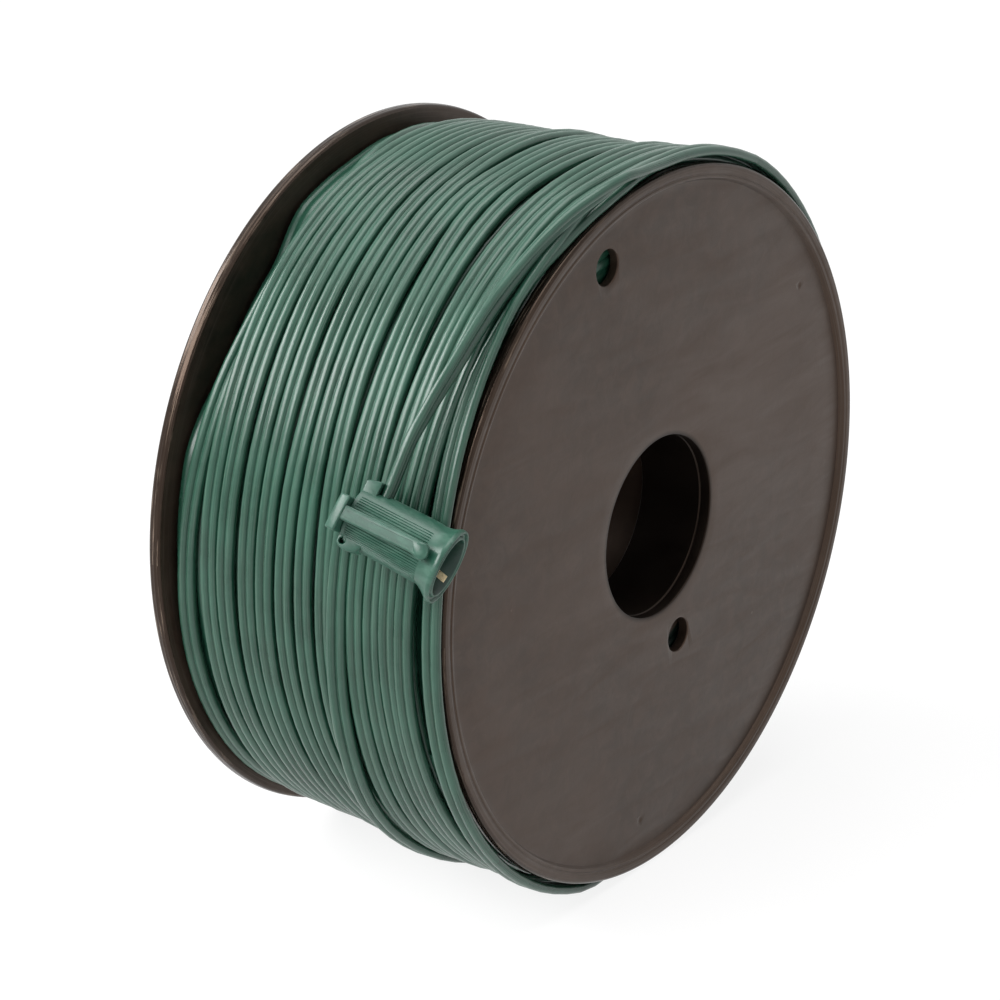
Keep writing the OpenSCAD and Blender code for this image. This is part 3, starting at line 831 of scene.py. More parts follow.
@dataclass
class Winding:
    """The pile of cord on the drum: its outer turns, the layer under them and the solid pile."""

    cord: FlatCord
    finish: bpy.types.Material
    drum: float = 38.0
    inner: float = 44.8
    floor: float = 100.4
    # number of whole turns before the last one, and of layers that show at the pile's sides
    last_turn: int = 13
    layers: int = 20
    # where the strand starts on its first turn and ends past its last one, and its steps, in degrees
    first_angle: float = 34.0
    end_angle: float = 60.0
    step_angle: float = 4.0

    # where the first turn comes up from under its neighbour: degrees and place along the axis
    entry: tuple[Pair, ...] = ((30, 42.0), (70, 41.0))
    # middle of each outer turn at the stations, in degrees
    stations: tuple[float, ...] = (98, 111, 125, 155, 176, 200, 225, 270)
    lanes: tuple[tuple[float, ...], ...] = (
        (34.8, 34.0, 33.4, 36.9, 39.1, 40.8, 41.6, 40.0),
        (30.3, 31.3, 31.1, 30.2, 30.1, 30.6, 31.0, 31.2),
        (24.3, 25.2, 25.0, 24.1, 24.1, 24.1, 24.4, 24.8),
        (18.4, 19.1, 18.7, 17.2, 16.8, 17.2, 17.5, 18.2),
        (12.8, 13.3, 12.7, 11.0, 10.7, 11.1, 11.1, 11.6),
        (6.2, 6.6, 6.0, 4.2, 4.2, 3.8, 3.2, 4.6),
        (-1.2, -0.1, -0.8, -2.6, -3.4, -3.6, -4.6, -2.4),
        (-8.7, -7.0, -7.2, -9.2, -10.4, -10.2, -10.6, -8.4),
        (-13.6, -12.8, -14.4, -15.8, -15.4, -13.4, -10.4, -14.2),
        (-20.3, -19.8, -20.2, -21.3, -20.9, -19.6, -17.0, -19.8),
        (-30.7, -29.6, -28.8, -27.9, -26.7, -25.7, -24.0, -25.4),
        (-37.2, -35.5, -34.6, -33.2, -32.6, -31.8, -30.6, -31.0),
        (-42.0, -40.4, -39.2, -38.7, -37.7, -36.6, -36.2, -36.4),
    )
    # where the turns behind the reel move over, from the tenth on
    first_move: int = 9
    move_stations: tuple[float, ...] = (330, 360, 390, 420)
    moves: tuple[tuple[float, ...], ...] = (
        (-20.6, -22.4, -25.2, -28.4),
        (-26.4, -28.0, -30.8, -34.9),
        (-31.8, -33.2, -36.2, -40.5),
        (-37.4, -38.6, -40.2, -41.8),
    )
    # the last turn, angle and place
    last_lane: tuple[Pair, ...] = (
        (75, -42.6), (88, -43.6), (95, -44.5), (100, -45.1), (105, -45.7), (110, -45.8), (115, -46.0),
        (120, -45.5), (125, -44.85), (130, -44.4), (135, -44.2), (140, -44.1), (145, -44.4), (150, -44.8),
        (160, -45.7), (176, -46.6), (200, -46.1), (225, -45.0), (270, -42.0), (300, -41.7), (360, -41.9),
        (390, -42.8), (420, -45.3), (430, -46.0),
    )
    last_levels: tuple[Pair, ...] = (
        (20, 102.1), (45, 100.7), (60, 100.3), (75, 100.5), (88, 101.5), (95, 101.9), (100, 102.0), (105, 102.9),
        (110, 103.2), (115, 103.4), (120, 103.4), (125, 103.3), (130, 103.2), (140, 103.0), (225, 103.0),
        (270, 102.6), (360, 101.9), (400, 102.3), (420, 103.2),
    )
    # the half twist that it makes as it comes out from under the free end
    last_twist: tuple[Pair, ...] = (
        (88, -180.0), (95, -178.0), (100, -165.0), (105, -135.0), (110, -110.0), (115, -85.0), (120, -70.0),
        (125, -56.0), (130, -45.0), (135, -25.0), (140, -8.0), (145, 0.0),
    )
    # radius of the turns' middle across the reel, where it is free and where the reel stands on it
    crown_top: tuple[Pair, ...] = (
        (40, 95.6), (36, 96.4), (32.6, 97.15), (26.9, 97.7), (21.2, 98.2), (15.5, 98.3), (9.9, 98.4), (4.2, 98.7),
        (-1.5, 99.8), (-7.2, 100.4), (-12.9, 100.6), (-18.6, 100.7), (-24.3, 100.8), (-27.5, 101.6), (-30, 102.4),
        (-35.7, 102.9), (-41.4, 102.85), (-47, 103.05), (-53, 103.1),
    )
    crown_low: tuple[Pair, ...] = (
        (40, 96.6), (32.6, 97.6), (26.9, 98.1), (21.2, 98.4), (15.5, 98.8), (9.9, 99.1), (4.2, 99.8),
        (-1.5, 100.6), (-7.2, 100.9), (-12.9, 101.0), (-18.6, 101.3), (-24.3, 101.5), (-30, 101.3),
        (-35.7, 101.7), (-41.4, 102.3), (-44, 103.0), (-53, 103.05),
    )
    # how far the first turn dives under its neighbour
    dive: tuple[Pair, ...] = (
        (30, -4.0), (70, -1.2), (96, -0.6), (110, -2.6), (136, -2.7), (152, -1.6), (176, -0.6), (205, -0.2), (250, 0.0),
    )
    # where the ninth turn climbs over the eighth: height and tilt
    climb: tuple[Pair, ...] = (
        (150, 0.0), (178, 0.8), (200, 1.6), (216, 2.3), (235, 2.1), (262, 0.6), (285, 0.0),
    )
    climb_tilt: tuple[Pair, ...] = ((150, 0.0), (178, 13.0), (200, 16.0), (216, 8.0), (240, 0.0))
    # where the turn before the last rides up on its neighbour under the free end
    ride_up: tuple[Pair, ...] = ((60, 0.0), (98, 0.8), (111, 1.5), (125, 0.8), (142, 0.0))

    def __post_init__(self) -> None:
        """Works out the lines that the turns follow."""
        keys = on_turn(0, self.entry)
        for turn, lane in enumerate(self.lanes):
            keys += on_turn(turn, zip(self.stations, lane))
        for turn, move in enumerate(self.moves, self.first_move):
            keys += on_turn(turn, zip(self.move_stations, move))
        keys += on_turn(self.last_turn, self.last_lane)
        self.lane_line = SmoothLine(sorted(keys))
        self.top_line = SmoothLine([(-y, r) for y, r in self.crown_top])
        self.low_line = SmoothLine([(-y, r) for y, r in self.crown_low])
        self.dive_line = SmoothLine(on_turn(0, self.dive))
        self.climb_line = SmoothLine(on_turn(8, self.climb))
        self.climb_tilt_line = SmoothLine(on_turn(8, self.climb_tilt))
        self.ride_line = SmoothLine(on_turn(self.last_turn - 1, self.ride_up))
        self.last_line = SmoothLine(on_turn(self.last_turn, self.last_levels))
        self.twist_line = SmoothLine(on_turn(self.last_turn, self.last_twist))

    def pile(self, y: float, angle: float) -> float:
        """Radius of the outer turns' middle, without climbs.

        Args:
            y: place along the axis, mm.
            angle: place round the reel, degrees.

        Returns:
            The radius in mm.
        """
        a = angle % 360.0
        low = window(a, 165.0, 65.0, 290.0, 60.0)
        sag = 1.2 * window(a, 50.0, 22.0, 90.0, 20.0) * ease((-y - 4.0) / 6.0)
        return self.top_line.at(-y) * (1 - low) + self.low_line.at(-y) * low - sag

    def dip_window(self, angle: float) -> float:
        """Share, from 0 to 1, by which the layers give way under the last turn's dive."""
        return window((angle + 20.0) % 360.0, 20.0, 25.0, 118.0, 16.0)

    def clamp_floor(self, radius: float, angle: float, half: float) -> float:
        """Keeps a point of the cord above the floor that the rims stand on."""
        a = math.radians(angle)
        reach = -math.sin(a)
        return min(radius, (self.floor - half) / reach) if reach > 0.5 else radius

    def outer_point(self, t: float) -> tuple[Vector, Vector]:
        """Middle and outward side of the outer layer's cord.

        Args:
            t: turns from the +X direction.

        Returns:
            The point in mm and the direction its flat side faces.
        """
        angle = t * 360.0
        calm = 1.0 - ease((t - self.last_turn - 0.2) * 6.0)
        y = self.lane_line.at(t) + 0.16 * wander(t * 9.0, 1.0) * calm
        r = self.pile(y, angle) + self.dive_line.at(t) * (1 - ease((t - 0.7) * 8))
        r += self.climb_line.at(t) + self.ride_line.at(t) + 0.10 * wander(t * 13.0, 4.0) * calm
        last = ease((t - self.last_turn - 0.02) / 0.08)
        r = r * (1 - last) + self.last_line.at(t) * last
        tilt = 4.0 * wander(t * 7.0, 2.0) * calm + 6.0 * window(t, 0.3, 0.05, 0.55, 0.125)
        tilt += self.climb_tilt_line.at(t) + 8.0 * self.ride_line.at(t) + self.twist_line.at(t)
        return polar(self.clamp_floor(r, angle, 1.42), angle, y), outward(angle, tilt)

    def outer_turns(self) -> bpy.types.Object:
        """Builds the outer layer as one long strand, which ends under the free end."""
        start, end = self.first_angle / 360, self.last_turn + 1 + self.end_angle / 360
        count = round((end - start) * 360 / self.step_angle)
        points = [self.outer_point(start + (end - start) * i / count) for i in range(count + 1)]
        path, sides = [p for p, _ in points], [side for _, side in points]
        path.append(path[-1] + outward(150.0) * self.cord.width)
        sides.append(sides[-1])
        return self.cord.sweep("outer_turns", path, sides, self.finish)

    def under_layer(self) -> bpy.types.Object:
        """Builds the layer that shows between the outer turns, wound the other way."""
        path, sides = [], []
        first, last, pitch = -41.8, 33.0, 5.72
        turns = (last - first) / pitch
        count = int(turns * 60)
        for i in range(count + 1):
            t = turns * i / count
            angle = 360.0 * t + 200.0
            y = first + pitch * t + 0.25 * wander(t * 8.0, 7.0)
            r = min(self.pile(y + d, angle) for d in (-2.8, 0.0, 2.8)) - 2.9 + 0.12 * wander(t * 11.0, 3.0)
            if y < -37.0:
                r = min(r, 99.4) - 2.2 * self.dip_window(angle)
            path.append(polar(self.clamp_floor(r, angle, 4.3), angle, y))
            sides.append(outward(angle, -4.0 * wander(t * 6.0, 5.0)))
        return self.cord.sweep("under_layer", path, sides, self.finish, 16)

    def core_top(self, y: float, angle: float) -> float:
        """Radius of the solid pile under the visible layers.

        Args:
            y: place along the axis, mm.
            angle: place round the reel, degrees.

        Returns:
            The radius in mm.
        """
        a = angle % 360.0
        by_far = ease((y - 33.6) / 2.4)
        open_gap = window(a, 88.0, 14.0, 142.0, 22.0)
        deep = window(a, 113.0, 14.0, 142.0, 22.0)
        r = (self.pile(y, angle) - 4.6) * (1 - by_far) + (94.2 - 1.4 * open_gap - 6.0 * deep) * by_far
        if y < -37.0:
            r = min(r, 97.6) - 2.0 * self.dip_window(angle)
        bump = 0.5 * abs(math.sin(math.pi * (y / 2.85 + a / 360.0)))
        return self.clamp_floor(r - 0.5 + bump, angle, 7.0)

    def pile_side(self, side: Side, angle: float, hub: float, end: float) -> list[Vector]:
        """One side of the pile at an angle, with a ridge for each buried layer.

        Args:
            side: the end of the reel that it faces.
            angle: place round the reel, degrees.
            hub: radius that it starts from, mm.
            end: its distance from the reel's middle, mm.

        Returns:
            Points in mm, from the drum outwards.
        """
        rows = self.layers * 4
        edge = self.core_top(side.value * end, angle)
        points = []
        for j in range(rows + 1):
            share = j / rows
            sink = 0.55 * (1.0 - abs(math.sin(math.pi * self.layers * share)))
            sink += 0.25 * (1 + wander(angle / 40.0 + int(share * self.layers) * 1.7, 2.0 * side.value))
            sink *= 1 if 0 < j < rows else 0.9
            points.append(polar(hub + (edge - hub) * share, angle, side.value * (end - sink)))
        return points

    def solid_pile(self) -> bpy.types.Object:
        """Builds the wound bulk: lobed sides with one ridge for each buried layer."""
        steps, across = 180, 150
        hub, end = self.drum + 0.1, self.inner - 0.25
        top = [end * (-1 + 2 * i / across) for i in range(1, across)]
        points: list[Vector] = []
        for i in range(steps):
            angle = 360.0 * i / steps
            ring = [polar(hub, angle, end - 0.6), polar(hub, angle, -end + 0.6)]
            ring += self.pile_side(Side.NEAR, angle, hub, end)
            ring += [polar(self.core_top(y, angle), angle, y) for y in top]
            ring += self.pile_side(Side.FAR, angle, hub, end)[::-1]
            points += [p * MM for p in ring]
        count = len(points) // steps
        faces = []
        for i in range(steps):
            a, b = i * count, ((i + 1) % steps) * count
            faces += [(a + j, a + (j + 1) % count, b + (j + 1) % count, b + j) for j in range(count)]
        return tidy_mesh(painted(mesh_object("wound_bulk", points, faces), self.finish), 60.0)

    def build(self) -> list[bpy.types.Object]:
        """Builds all of the wound cord.

        Returns:
            The outer turns, the layer under them and the bulk.
        """
        return [self.outer_turns(), self.under_layer(), self.solid_pile()]


# ---- free end ----


@dataclass
class FreeEnd:
    """The cord's free end, from the last turn over the near rim to the lampholder."""

    cord: FlatCord
    finish: bpy.types.Material
    holder: "Lampholder"
    level: float = 101.6
    inner: float = 44.8
    # the end of the last turn: radius, angle and place along the axis
    last: Triple = (103.2, 60.0, -45.3)
    # angle, height of its middle over the bed's level, distance beyond the near inner face, twist
    route: tuple[tuple[float, float, float, float], ...] = (
        (70, 1.7, 1.2, 0), (77, 1.8, 1.6, 0), (84, 1.8, 1.9, 0), (91, 2.0, 2.5, -4), (97, 3.4, 3.6, -14),
        (102, 5.2, 4.3, -34), (107, 6.0, 3.9, -58), (112, 6.2, 2.2, -67), (116, 6.2, 0.9, -71), (120, 6.1, -0.2, -76),
        (125, 6.2, -1.3, -84), (130, 6.4, -2.4, -90), (135, 6.8, -3.3, -90), (140, 7.6, -4.2, -87),
        (144, 8.6, -5.2, -82), (148, 9.9, -6.2, -76), (152, 11.4, -7.1, -72),
    )
    steps_between: int = 6

    def points(self) -> tuple[list[Vector], list[Vector]]:
        """The route's own points.

        Returns:
            Points in mm and the direction of the cord's width at each.
        """
        mids, wide = [polar(*self.last) + outward(150.0) * self.cord.width], [Vector((0, 1, 0))]
        for angle, height, beyond, twist in self.route:
            mids.append(polar(self.level + height, angle, -(self.inner + beyond)))
            wide.append(outward(angle, twist - 90.0))
        h = self.holder
        for x in (h.barrel_r, h.channel_foot):
            mids.append(h.at(x, 0.0, -h.channel))
            wide.append(h.axis_y if wide[-1].dot(h.axis_y) > 0 else -h.axis_y)
        return mids, wide

    def build(self) -> tuple[bpy.types.Object, list[Vector]]:
        """Builds the free end.

        Returns:
            The cord and the fine path that it follows, in mm.
        """
        mids, wide = self.points()
        fine, across = [], []
        n = len(mids)
        for i in range(n - 1):
            a, b = mids[i], mids[i + 1]
            before = mids[i - 1] if i else a * 2 - b
            after = mids[i + 2] if i + 2 < n else b * 2 - a
            square, cube = 2 * before - 5 * a + 4 * b - after, 3 * a - before - 3 * b + after
            for k in range(self.steps_between):
                s = k / self.steps_between
                fine.append(0.5 * ((2 * a) + (b - before) * s + square * s * s + cube * s ** 3))
                across.append(wide[i].lerp(wide[i + 1], ease(s) * 0.5 + s * 0.5))
        fine.append(mids[-1])
        across.append(wide[-1])
        sides = []
        for i, direction in enumerate(across):
            ahead = (fine[min(i + 1, len(fine) - 1)] - fine[max(i - 1, 0)]).normalized()
            sides.append((direction - ahead * direction.dot(ahead)).normalized().cross(ahead))
        return self.cord.sweep("free_end", fine, sides, self.finish, 28), fine


# ---- reel mouldings ----


@dataclass
class Flange:
    """One flange: raised rim, flat web with two cord holes, hub sleeve and centring ring."""

    finish: bpy.types.Material
    side: Side
    radius: float = 100.4
    inner: float = 44.8
    web: float = 2.8
    rim_w: float = 3.9
    rim_round: float = 1.2
    land: float = 2.9
    slope: float = 0.8
    inner_round: float = 1.0
    bore: float = 25.6
    sleeve_wall: float = 2.2
    sleeve_len: float = 19.4
    ring_r: float = 34.85
    ring_wall: float = 1.8
    ring_h: float = 2.5
    steps: int = 288
    # radius and angle of each cord hole's middle, and its own radius
    holes: tuple[Triple, ...] = ((85.2, 107.6, 5.0), (37.45, -73.5, 4.85))
    mark_r: float = 86.4
    mark_angles: tuple[float, ...] = (34.8, -94.5)

    def section(self) -> list[Pair]:
        """Half-section, radius against height from the web's inner face outwards."""
        crest = self.radius - self.rim_round
        step = crest - self.land
        foot = step - self.slope
        # web's outer face from the bore to the recess corner
        pts = arc(self.bore + 0.35, self.face_at(self.bore) - 0.35, 0.35, 180, 90, 4)
        pts += [(r, self.face_at(r)) for r in (30.0, 38.0, 46.0, 54.0, 62.0, 70.0, 78.0, 85.0, 89.0, 91.5, 93.5)]
        pts += [(foot + r, self.web + h) for r, h in ((-0.35, -0.42), (-0.1, -0.36), (0.1, -0.1))]
        pts += [(step + r, self.rim_w + h) for r, h in ((-0.25, -0.26), (-0.05, -0.07), (0.15, 0.0))]
        # crest with a fine turned line and a shallow dip before its outer rounding
        line = crest - 2.05
        turned = ((-0.25, 0.0), (-0.12, -0.14), (0.0, -0.24), (0.3, -0.24), (0.5, -0.12), (0.75, -0.02))
        pts += [(line + r, self.rim_w + h) for r, h in turned]
        pts += [(crest + r, self.rim_w + h) for r, h in ((-0.5, 0.0), (-0.2, -0.03), (0.0, -0.05))]
        pts += arc(crest + 0.02, self.rim_w - self.rim_round - 0.02, self.rim_round, 84, 0, 10)
        # parting ridge round the edge
        middle = self.rim_w / 2 - 0.1
        pts += [(self.radius + r, middle + h) for r, h in ((0.0, 0.25), (0.08, 0.06), (0.08, -0.06), (0.0, -0.25))]
        pts += arc(self.radius - self.inner_round, self.inner_round, self.inner_round, 0, -90, 6)
        # web's inner face, centring ring and hub sleeve
        pts += [(90.0, 0.0), (75.0, 0.0), (60.0, 0.0), (45.0, 0.0)]
        pts += [(self.ring_r, 0.0), (self.ring_r, -self.ring_h + 0.3), (self.ring_r - 0.3, -self.ring_h)]
        pts += [(self.ring_r - self.ring_wall, -self.ring_h), (self.ring_r - self.ring_wall, 0.0)]
        outer = self.bore + self.sleeve_wall
        pts += [(outer + 0.4, 0.0), (outer, -0.4), (outer, -self.sleeve_len + 0.4), (outer - 0.4, -self.sleeve_len)]
        pts += [(self.bore + 0.3, -self.sleeve_len), (self.bore, -self.sleeve_len + 0.3)]
        # witness groove between the sleeve and the web
        pts += [(self.bore, -10.0), (self.bore, -0.34), (self.bore + 0.3, 0.0), (self.bore, 0.34)]
        return pts

    def face_at(self, r: float) -> float:
        """Height of the web's slightly crowned outer face at a radius, mm."""
        return self.web + 0.5 * (1.0 - ease((r - self.bore) / 52.0)) - 0.4 * ease((r - 84.0) / 11.0)

    def place(self, r: float, angle: float, height: float) -> Vector:
        """Puts a section point on the reel."""
        return polar(r, angle, self.side.value * (self.inner + height))

    def about(self, at_r: float, at_angle: float) -> Place:
        """A placer for round tools whose middle is at a radius and an angle of the flange."""
        middle = polar(at_r, at_angle, 0.0)

        def put(r: float, angle: float, height: float) -> Vector:
            """Puts a point of the tool on the flange."""
            return middle + self.place(r, angle, height)

        return put

    def lipped_cutter(self, at_r: float, at_angle: float, hole_r: float) -> bpy.types.Object:
        """A round cutter whose ends flare, so the hole gets soft edges.

        Args:
            at_r: radius of the hole's middle on the flange.
            at_angle: its angle.
            hole_r: the hole's own radius.

        Returns:
            The cutter.
        """
        soft = 0.5
        wide = hole_r + soft + 0.4
        top = self.face_at(at_r) + 0.03
        sect = [(0.0, top + 1.0), (wide, top + 1.0), (wide, top + 0.0001)]
        sect += arc(hole_r + soft, top - soft, soft, 90, 180, 6)
        sect += arc(hole_r + soft, soft, soft, 180, 270, 6)
        sect += [(wide, -0.0001), (wide, -1.0), (0.0, -1.0)]
        return lathe("cutter", sect, self.about(at_r, at_angle), 64)

    def build(self) -> bpy.types.Object:
        """Builds the flange with its holes and ejector marks."""
        name = "near_flange" if self.side is Side.NEAR else "far_flange"
        obj = lathe(name, self.section(), self.place, self.steps)
        for hole in self.holes:
            boolean(obj, self.lipped_cutter(*hole), Cut.TAKE)
        top = self.face_at(self.mark_r)
        mark = [(0.0, 1.0), (1.5, 1.0), (1.45, 0.02), (0.95, -0.1), (0.5, -0.26), (0.0, -0.3)]
        mark = [(r, top + h) for r, h in mark]
        for angle in self.mark_angles:
            boolean(obj, lathe("mark", mark, self.about(self.mark_r, angle), 24), Cut.TAKE)
        return painted(tidy_mesh(obj, 28.0, 2e-7), self.finish)


@dataclass
class Drum:
    """The barrel between the flanges: outer drum, arbor tube and the ribs that join them."""

    finish: bpy.types.Material
    outer: float = 38.0
    wall: float = 3.0
    tube_in: float = 27.9
    tube_wall: float = 2.4
    half: float = 44.78
    rib_count: int = 6
    rib_t: float = 2.4
    set_back: float = 4.0
    # how far each rib reaches into the walls that it joins
    overlap: float = 0.8

    def ribs(self) -> bpy.types.Object:
        """Repeats one rounded rib round the tube with nodes."""
        deep = self.outer - self.wall - self.tube_in - self.tube_wall + 2 * self.overlap
        middle = self.tube_in + self.tube_wall + deep / 2 - self.overlap
        half = self.half - self.set_back
        rib = mesh_object("rib", [])
        bm = bmesh.new()
        bmesh.ops.create_cube(bm, size=1.0)
        for v in bm.verts:
            v.co = Vector((v.co.x * deep, -v.co.z * self.rib_t, v.co.y * 2 * half)) * MM
        bmesh.ops.bevel(bm, geom=bm.edges[:], offset=0.3 * MM, segments=2, affect="EDGES", profile=0.5)
        bm.to_mesh(rib.data)
        bm.free()
        g = GeometryLayout("drum_ribs", {"Count": "Int", "Radius": "Float"})
        ring = g.add("GeometryNodeMeshCircle", {"Vertices": g.source["Count"], "Radius": g.source["Radius"]})
        turn = g.times(g.add("GeometryNodeInputIndex").outputs[0], 2 * math.pi / self.rib_count)
        spread = g.add("GeometryNodeInstanceOnPoints", {
            "Points": ring.outputs[0], "Instance": g.source["Geometry"], "Rotation": g.vector(0.0, 0.0, turn),
        })
        # the ring lies flat, so it is stood up on the reel's axis
        stand = g.add("GeometryNodeTransform", {0: spread.outputs[0], "Rotation": (math.radians(90), 0, 0)})
        values = {"Count": self.rib_count, "Radius": middle * MM, "Finish": self.finish}
        return grow(rib, g.close(stand.outputs[0]), values)

    def build(self) -> bpy.types.Object:
        """Builds the barrel."""
        h, tube_out = self.half, self.tube_in + self.tube_wall
        tube = [(self.tube_in, -h + 0.3), (self.tube_in, 0.0), (self.tube_in, h - 0.3), (self.tube_in + 0.3, h)]
        tube += [(tube_out, h), (tube_out, -h), (self.tube_in + 0.3, -h)]
        drum = [(self.outer - self.wall, -h), (self.outer - self.wall, h), (self.outer, h), (self.outer, -h)]
        obj = lathe("hub_barrel", tube, polar, 144)
        boolean(obj, lathe("drum", drum, polar, 144), Cut.JOIN)
        boolean(obj, self.ribs(), Cut.JOIN)
        return painted(tidy_mesh(obj, 30.0), self.finish)


# ---- lampholder ----


@dataclass
class Lampholder:
    """Clip lampholder: x points to the hood, y to the clip, z out of the mouth, from the mouth's middle."""

    finish: bpy.types.Material
    brass: bpy.types.Material
    rim: float = 100.5
    inner: float = 44.8
    mouth_angle: float = 166.2
    mouth_lift: float = 9.9
    mouth_out: float = 10.5
    heading: float = -78.5
    tilt: float = 109.3
    spin: float = 150.6
    # the barrel leans off the mouth's middle over this depth
    lean: float = 1.1
    lean_depth: float = 8.0
    body_len: float = 28.0
    barrel_r: float = 7.65
    front_r: float = 8.1
    flare: float = 6.0
    mouth_r: float = 10.15
    cup_r: float = 7.65
    cup_deep: float = 7.0
    thread_r: float = 6.05
    thread_pitch: float = 2.2
    ridge_r: float = 0.55
    floor: float = 18.5
    rib_count: int = 68
    # the cord channel: its depth behind the mouth, where it ends, its half width and half thickness
    channel: float = 22.5
    channel_foot: float = -6.4
    channel_half: Pair = (2.9, 1.5)
    lug_r: float = 3.9
    cap_t: float = 3.2
    cap_half: float = 4.75
    cap_off: float = -1.3
    # the clip finger: half width, where its bulb ends, its middle there and at its root, the bulb's radius
    finger_half: float = 1.95
    finger_tip: float = -3.7
    finger_end: float = -0.1
    finger_root: float = -0.8
    bulb: float = 2.35
    # the brass strip: its place round the bore, thickness and half width
    strip_angle: float = 245.0
    gauge: float = 0.4
    strip_half: float = 1.0
    pip_off: float = 1.4

    def __post_init__(self) -> None:
        """Works out the holder's axes."""
        turn = (
            Matrix.Rotation(math.radians(self.heading), 3, "Z")
            @ Matrix.Rotation(math.radians(self.tilt), 3, "Y")
            @ Matrix.Rotation(math.radians(self.spin), 3, "Z")
        )
        self.axis_x, self.axis_y, self.axis_z = (column.copy() for column in turn.col)
        self.origin = polar(self.rim + self.mouth_lift, self.mouth_angle, -(self.inner + self.mouth_out))

    def off(self, z: float) -> float:
        """How far the barrel's middle is from the mouth's at a depth, mm."""
        return self.lean * ease(-z / self.lean_depth)

    def at(self, x: float, y: float, z: float) -> Vector:
        """A point of the holder on the reel, mm."""
        return self.origin + self.axis_x * (x + self.off(z)) + self.axis_y * y + self.axis_z * z

    def spin_place(self, r: float, angle: float, h: float) -> Vector:
        """Puts a lathe point about the holder's own axis."""
        a = math.radians(angle)
        return self.at(r * math.cos(a), r * math.sin(a), h)

    def upright(self, a: float, b: float, c: float) -> Vector:
        """Puts a point of a slab that is drawn from the hood's direction to the mouth's."""
        return self.at(a, c, b)

    def about(self, x: float, z: float) -> Place:
        """A placer for round pieces whose axis runs in the clip's direction."""

        def put(r: float, angle: float, height: float) -> Vector:
            """Puts a point of the round piece on the reel."""
            a = math.radians(angle)
            return self.at(x + r * math.cos(a), height, z + r * math.sin(a))

        return put

    def section(self) -> list[Pair]:
        """Half-section of the body: radius against height, from the rear round the lip to the bore's floor."""
        barrel, front, mouth, cup, thread = self.barrel_r, self.front_r, self.mouth_r, self.cup_r, self.thread_r
        rear, deep = -self.body_len, self.cup_deep
        pts = [(0.0, rear), (barrel - 0.3, rear), (barrel, rear + 0.3)]
        sleeve = self.body_len - 0.3 - self.flare
        pts += [(barrel + (front - barrel) * i / 6, rear + 0.3 + sleeve * i / 6) for i in range(6)]
        for i in range(11):
            share = i / 10
            pts.append((front + (mouth - front) * share ** 1.7, -self.flare + (self.flare - 1.2) * share))
        # two rounded lips with a fine groove between them
        outer = ((0.02, -0.9), (0.0, -0.4), (-0.12, -0.12), (-0.35, 0.0), (-0.6, -0.04), (-0.8, -0.35), (-0.92, -0.7))
        inner = ((0.95, -0.7), (0.78, -0.35), (0.55, -0.06), (0.35, 0.0), (0.12, -0.08), (0.0, -0.35))
        pts += [(mouth + r, z) for r, z in outer] + [(cup + r, z) for r, z in inner]
        # cup, bore and floor
        pts += [(cup - 0.5, -deep + 0.6), (thread + 0.3, -deep + 0.2), (thread, -deep)]
        pts += [(thread, -deep - (self.floor - deep) * k / 4) for k in range(1, 5)]
        return pts + [(0.0, -self.floor)]

    def body(self) -> bpy.types.Object:
        """Builds the barrel with its flare, bore, hood, tie lug and cord channel."""
        obj = lathe("holder_body", self.section(), self.spin_place, 128)
        hood = [(5.0, -27.9), (8.9, -27.9), (9.3, -27.6), (10.2, -24.4), (10.0, -24.0), (5.0, -24.0)]
        boolean(obj, prism("hood", hood, -4.4, 4.4, self.upright, 0.45), Cut.JOIN)
        back = [(4.0, -27.95), (7.4, -27.95), (8.2, -27.2), (8.2, -23.95), (4.0, -23.95)]
        boolean(obj, prism("saddle", back, -3.6, 3.6, self.upright, 0.3), Cut.JOIN)
        lug_z, rear = -(self.channel + 2.6), -self.body_len + 0.02
        lug = [(x, max(z, rear)) for x, z in arc(-9.3 + self.lug_r, lug_z, self.lug_r, 90, 270, 16)]
        lug = [(-1.0, lug_z + self.lug_r)] + lug + [(-1.0, rear)]
        boolean(obj, prism("lug", lug, -4.4, 4.4, self.upright, 0.35), Cut.JOIN)
        hole = [(0.0, -6.0), (0.8, -6.0), (0.8, 4.1), (1.1, 4.5), (1.1, 6.0), (0.0, 6.0)]
        boolean(obj, lathe("lug_hole", hole, self.about(-7.3, lug_z - 1.5), 24), Cut.TAKE)
        half_w, half_t = self.channel_half
        low, high = -self.channel - half_t, -self.channel + half_t
        slot = [(self.channel_foot, low), (12.0, low), (12.0, high), (self.channel_foot, high)]
        boolean(obj, prism("channel", slot, -half_w, half_w, self.upright), Cut.TAKE)
        return self.mark_painted_shade(painted(tidy_mesh(obj, 32.0, 5e-8), self.finish))

    def mark_painted_shade(self, obj: bpy.types.Object) -> bpy.types.Object:
        """Marks the walls inside the mouth, as the attribute "inside", for the finish's painted shade."""
        mark = obj.data.attributes.new("inside", "FLOAT", "POINT")
        for i, v in enumerate(obj.data.vertices):
            p = v.co / MM - self.origin
            z = p.dot(self.axis_z)
            r = math.hypot(p.dot(self.axis_x) - self.off(z), p.dot(self.axis_y))
            mark.data[i].value = 1.0 if r < self.cup_r + 0.02 and -self.floor - 0.2 < z < -0.3 else 0.0
        return obj

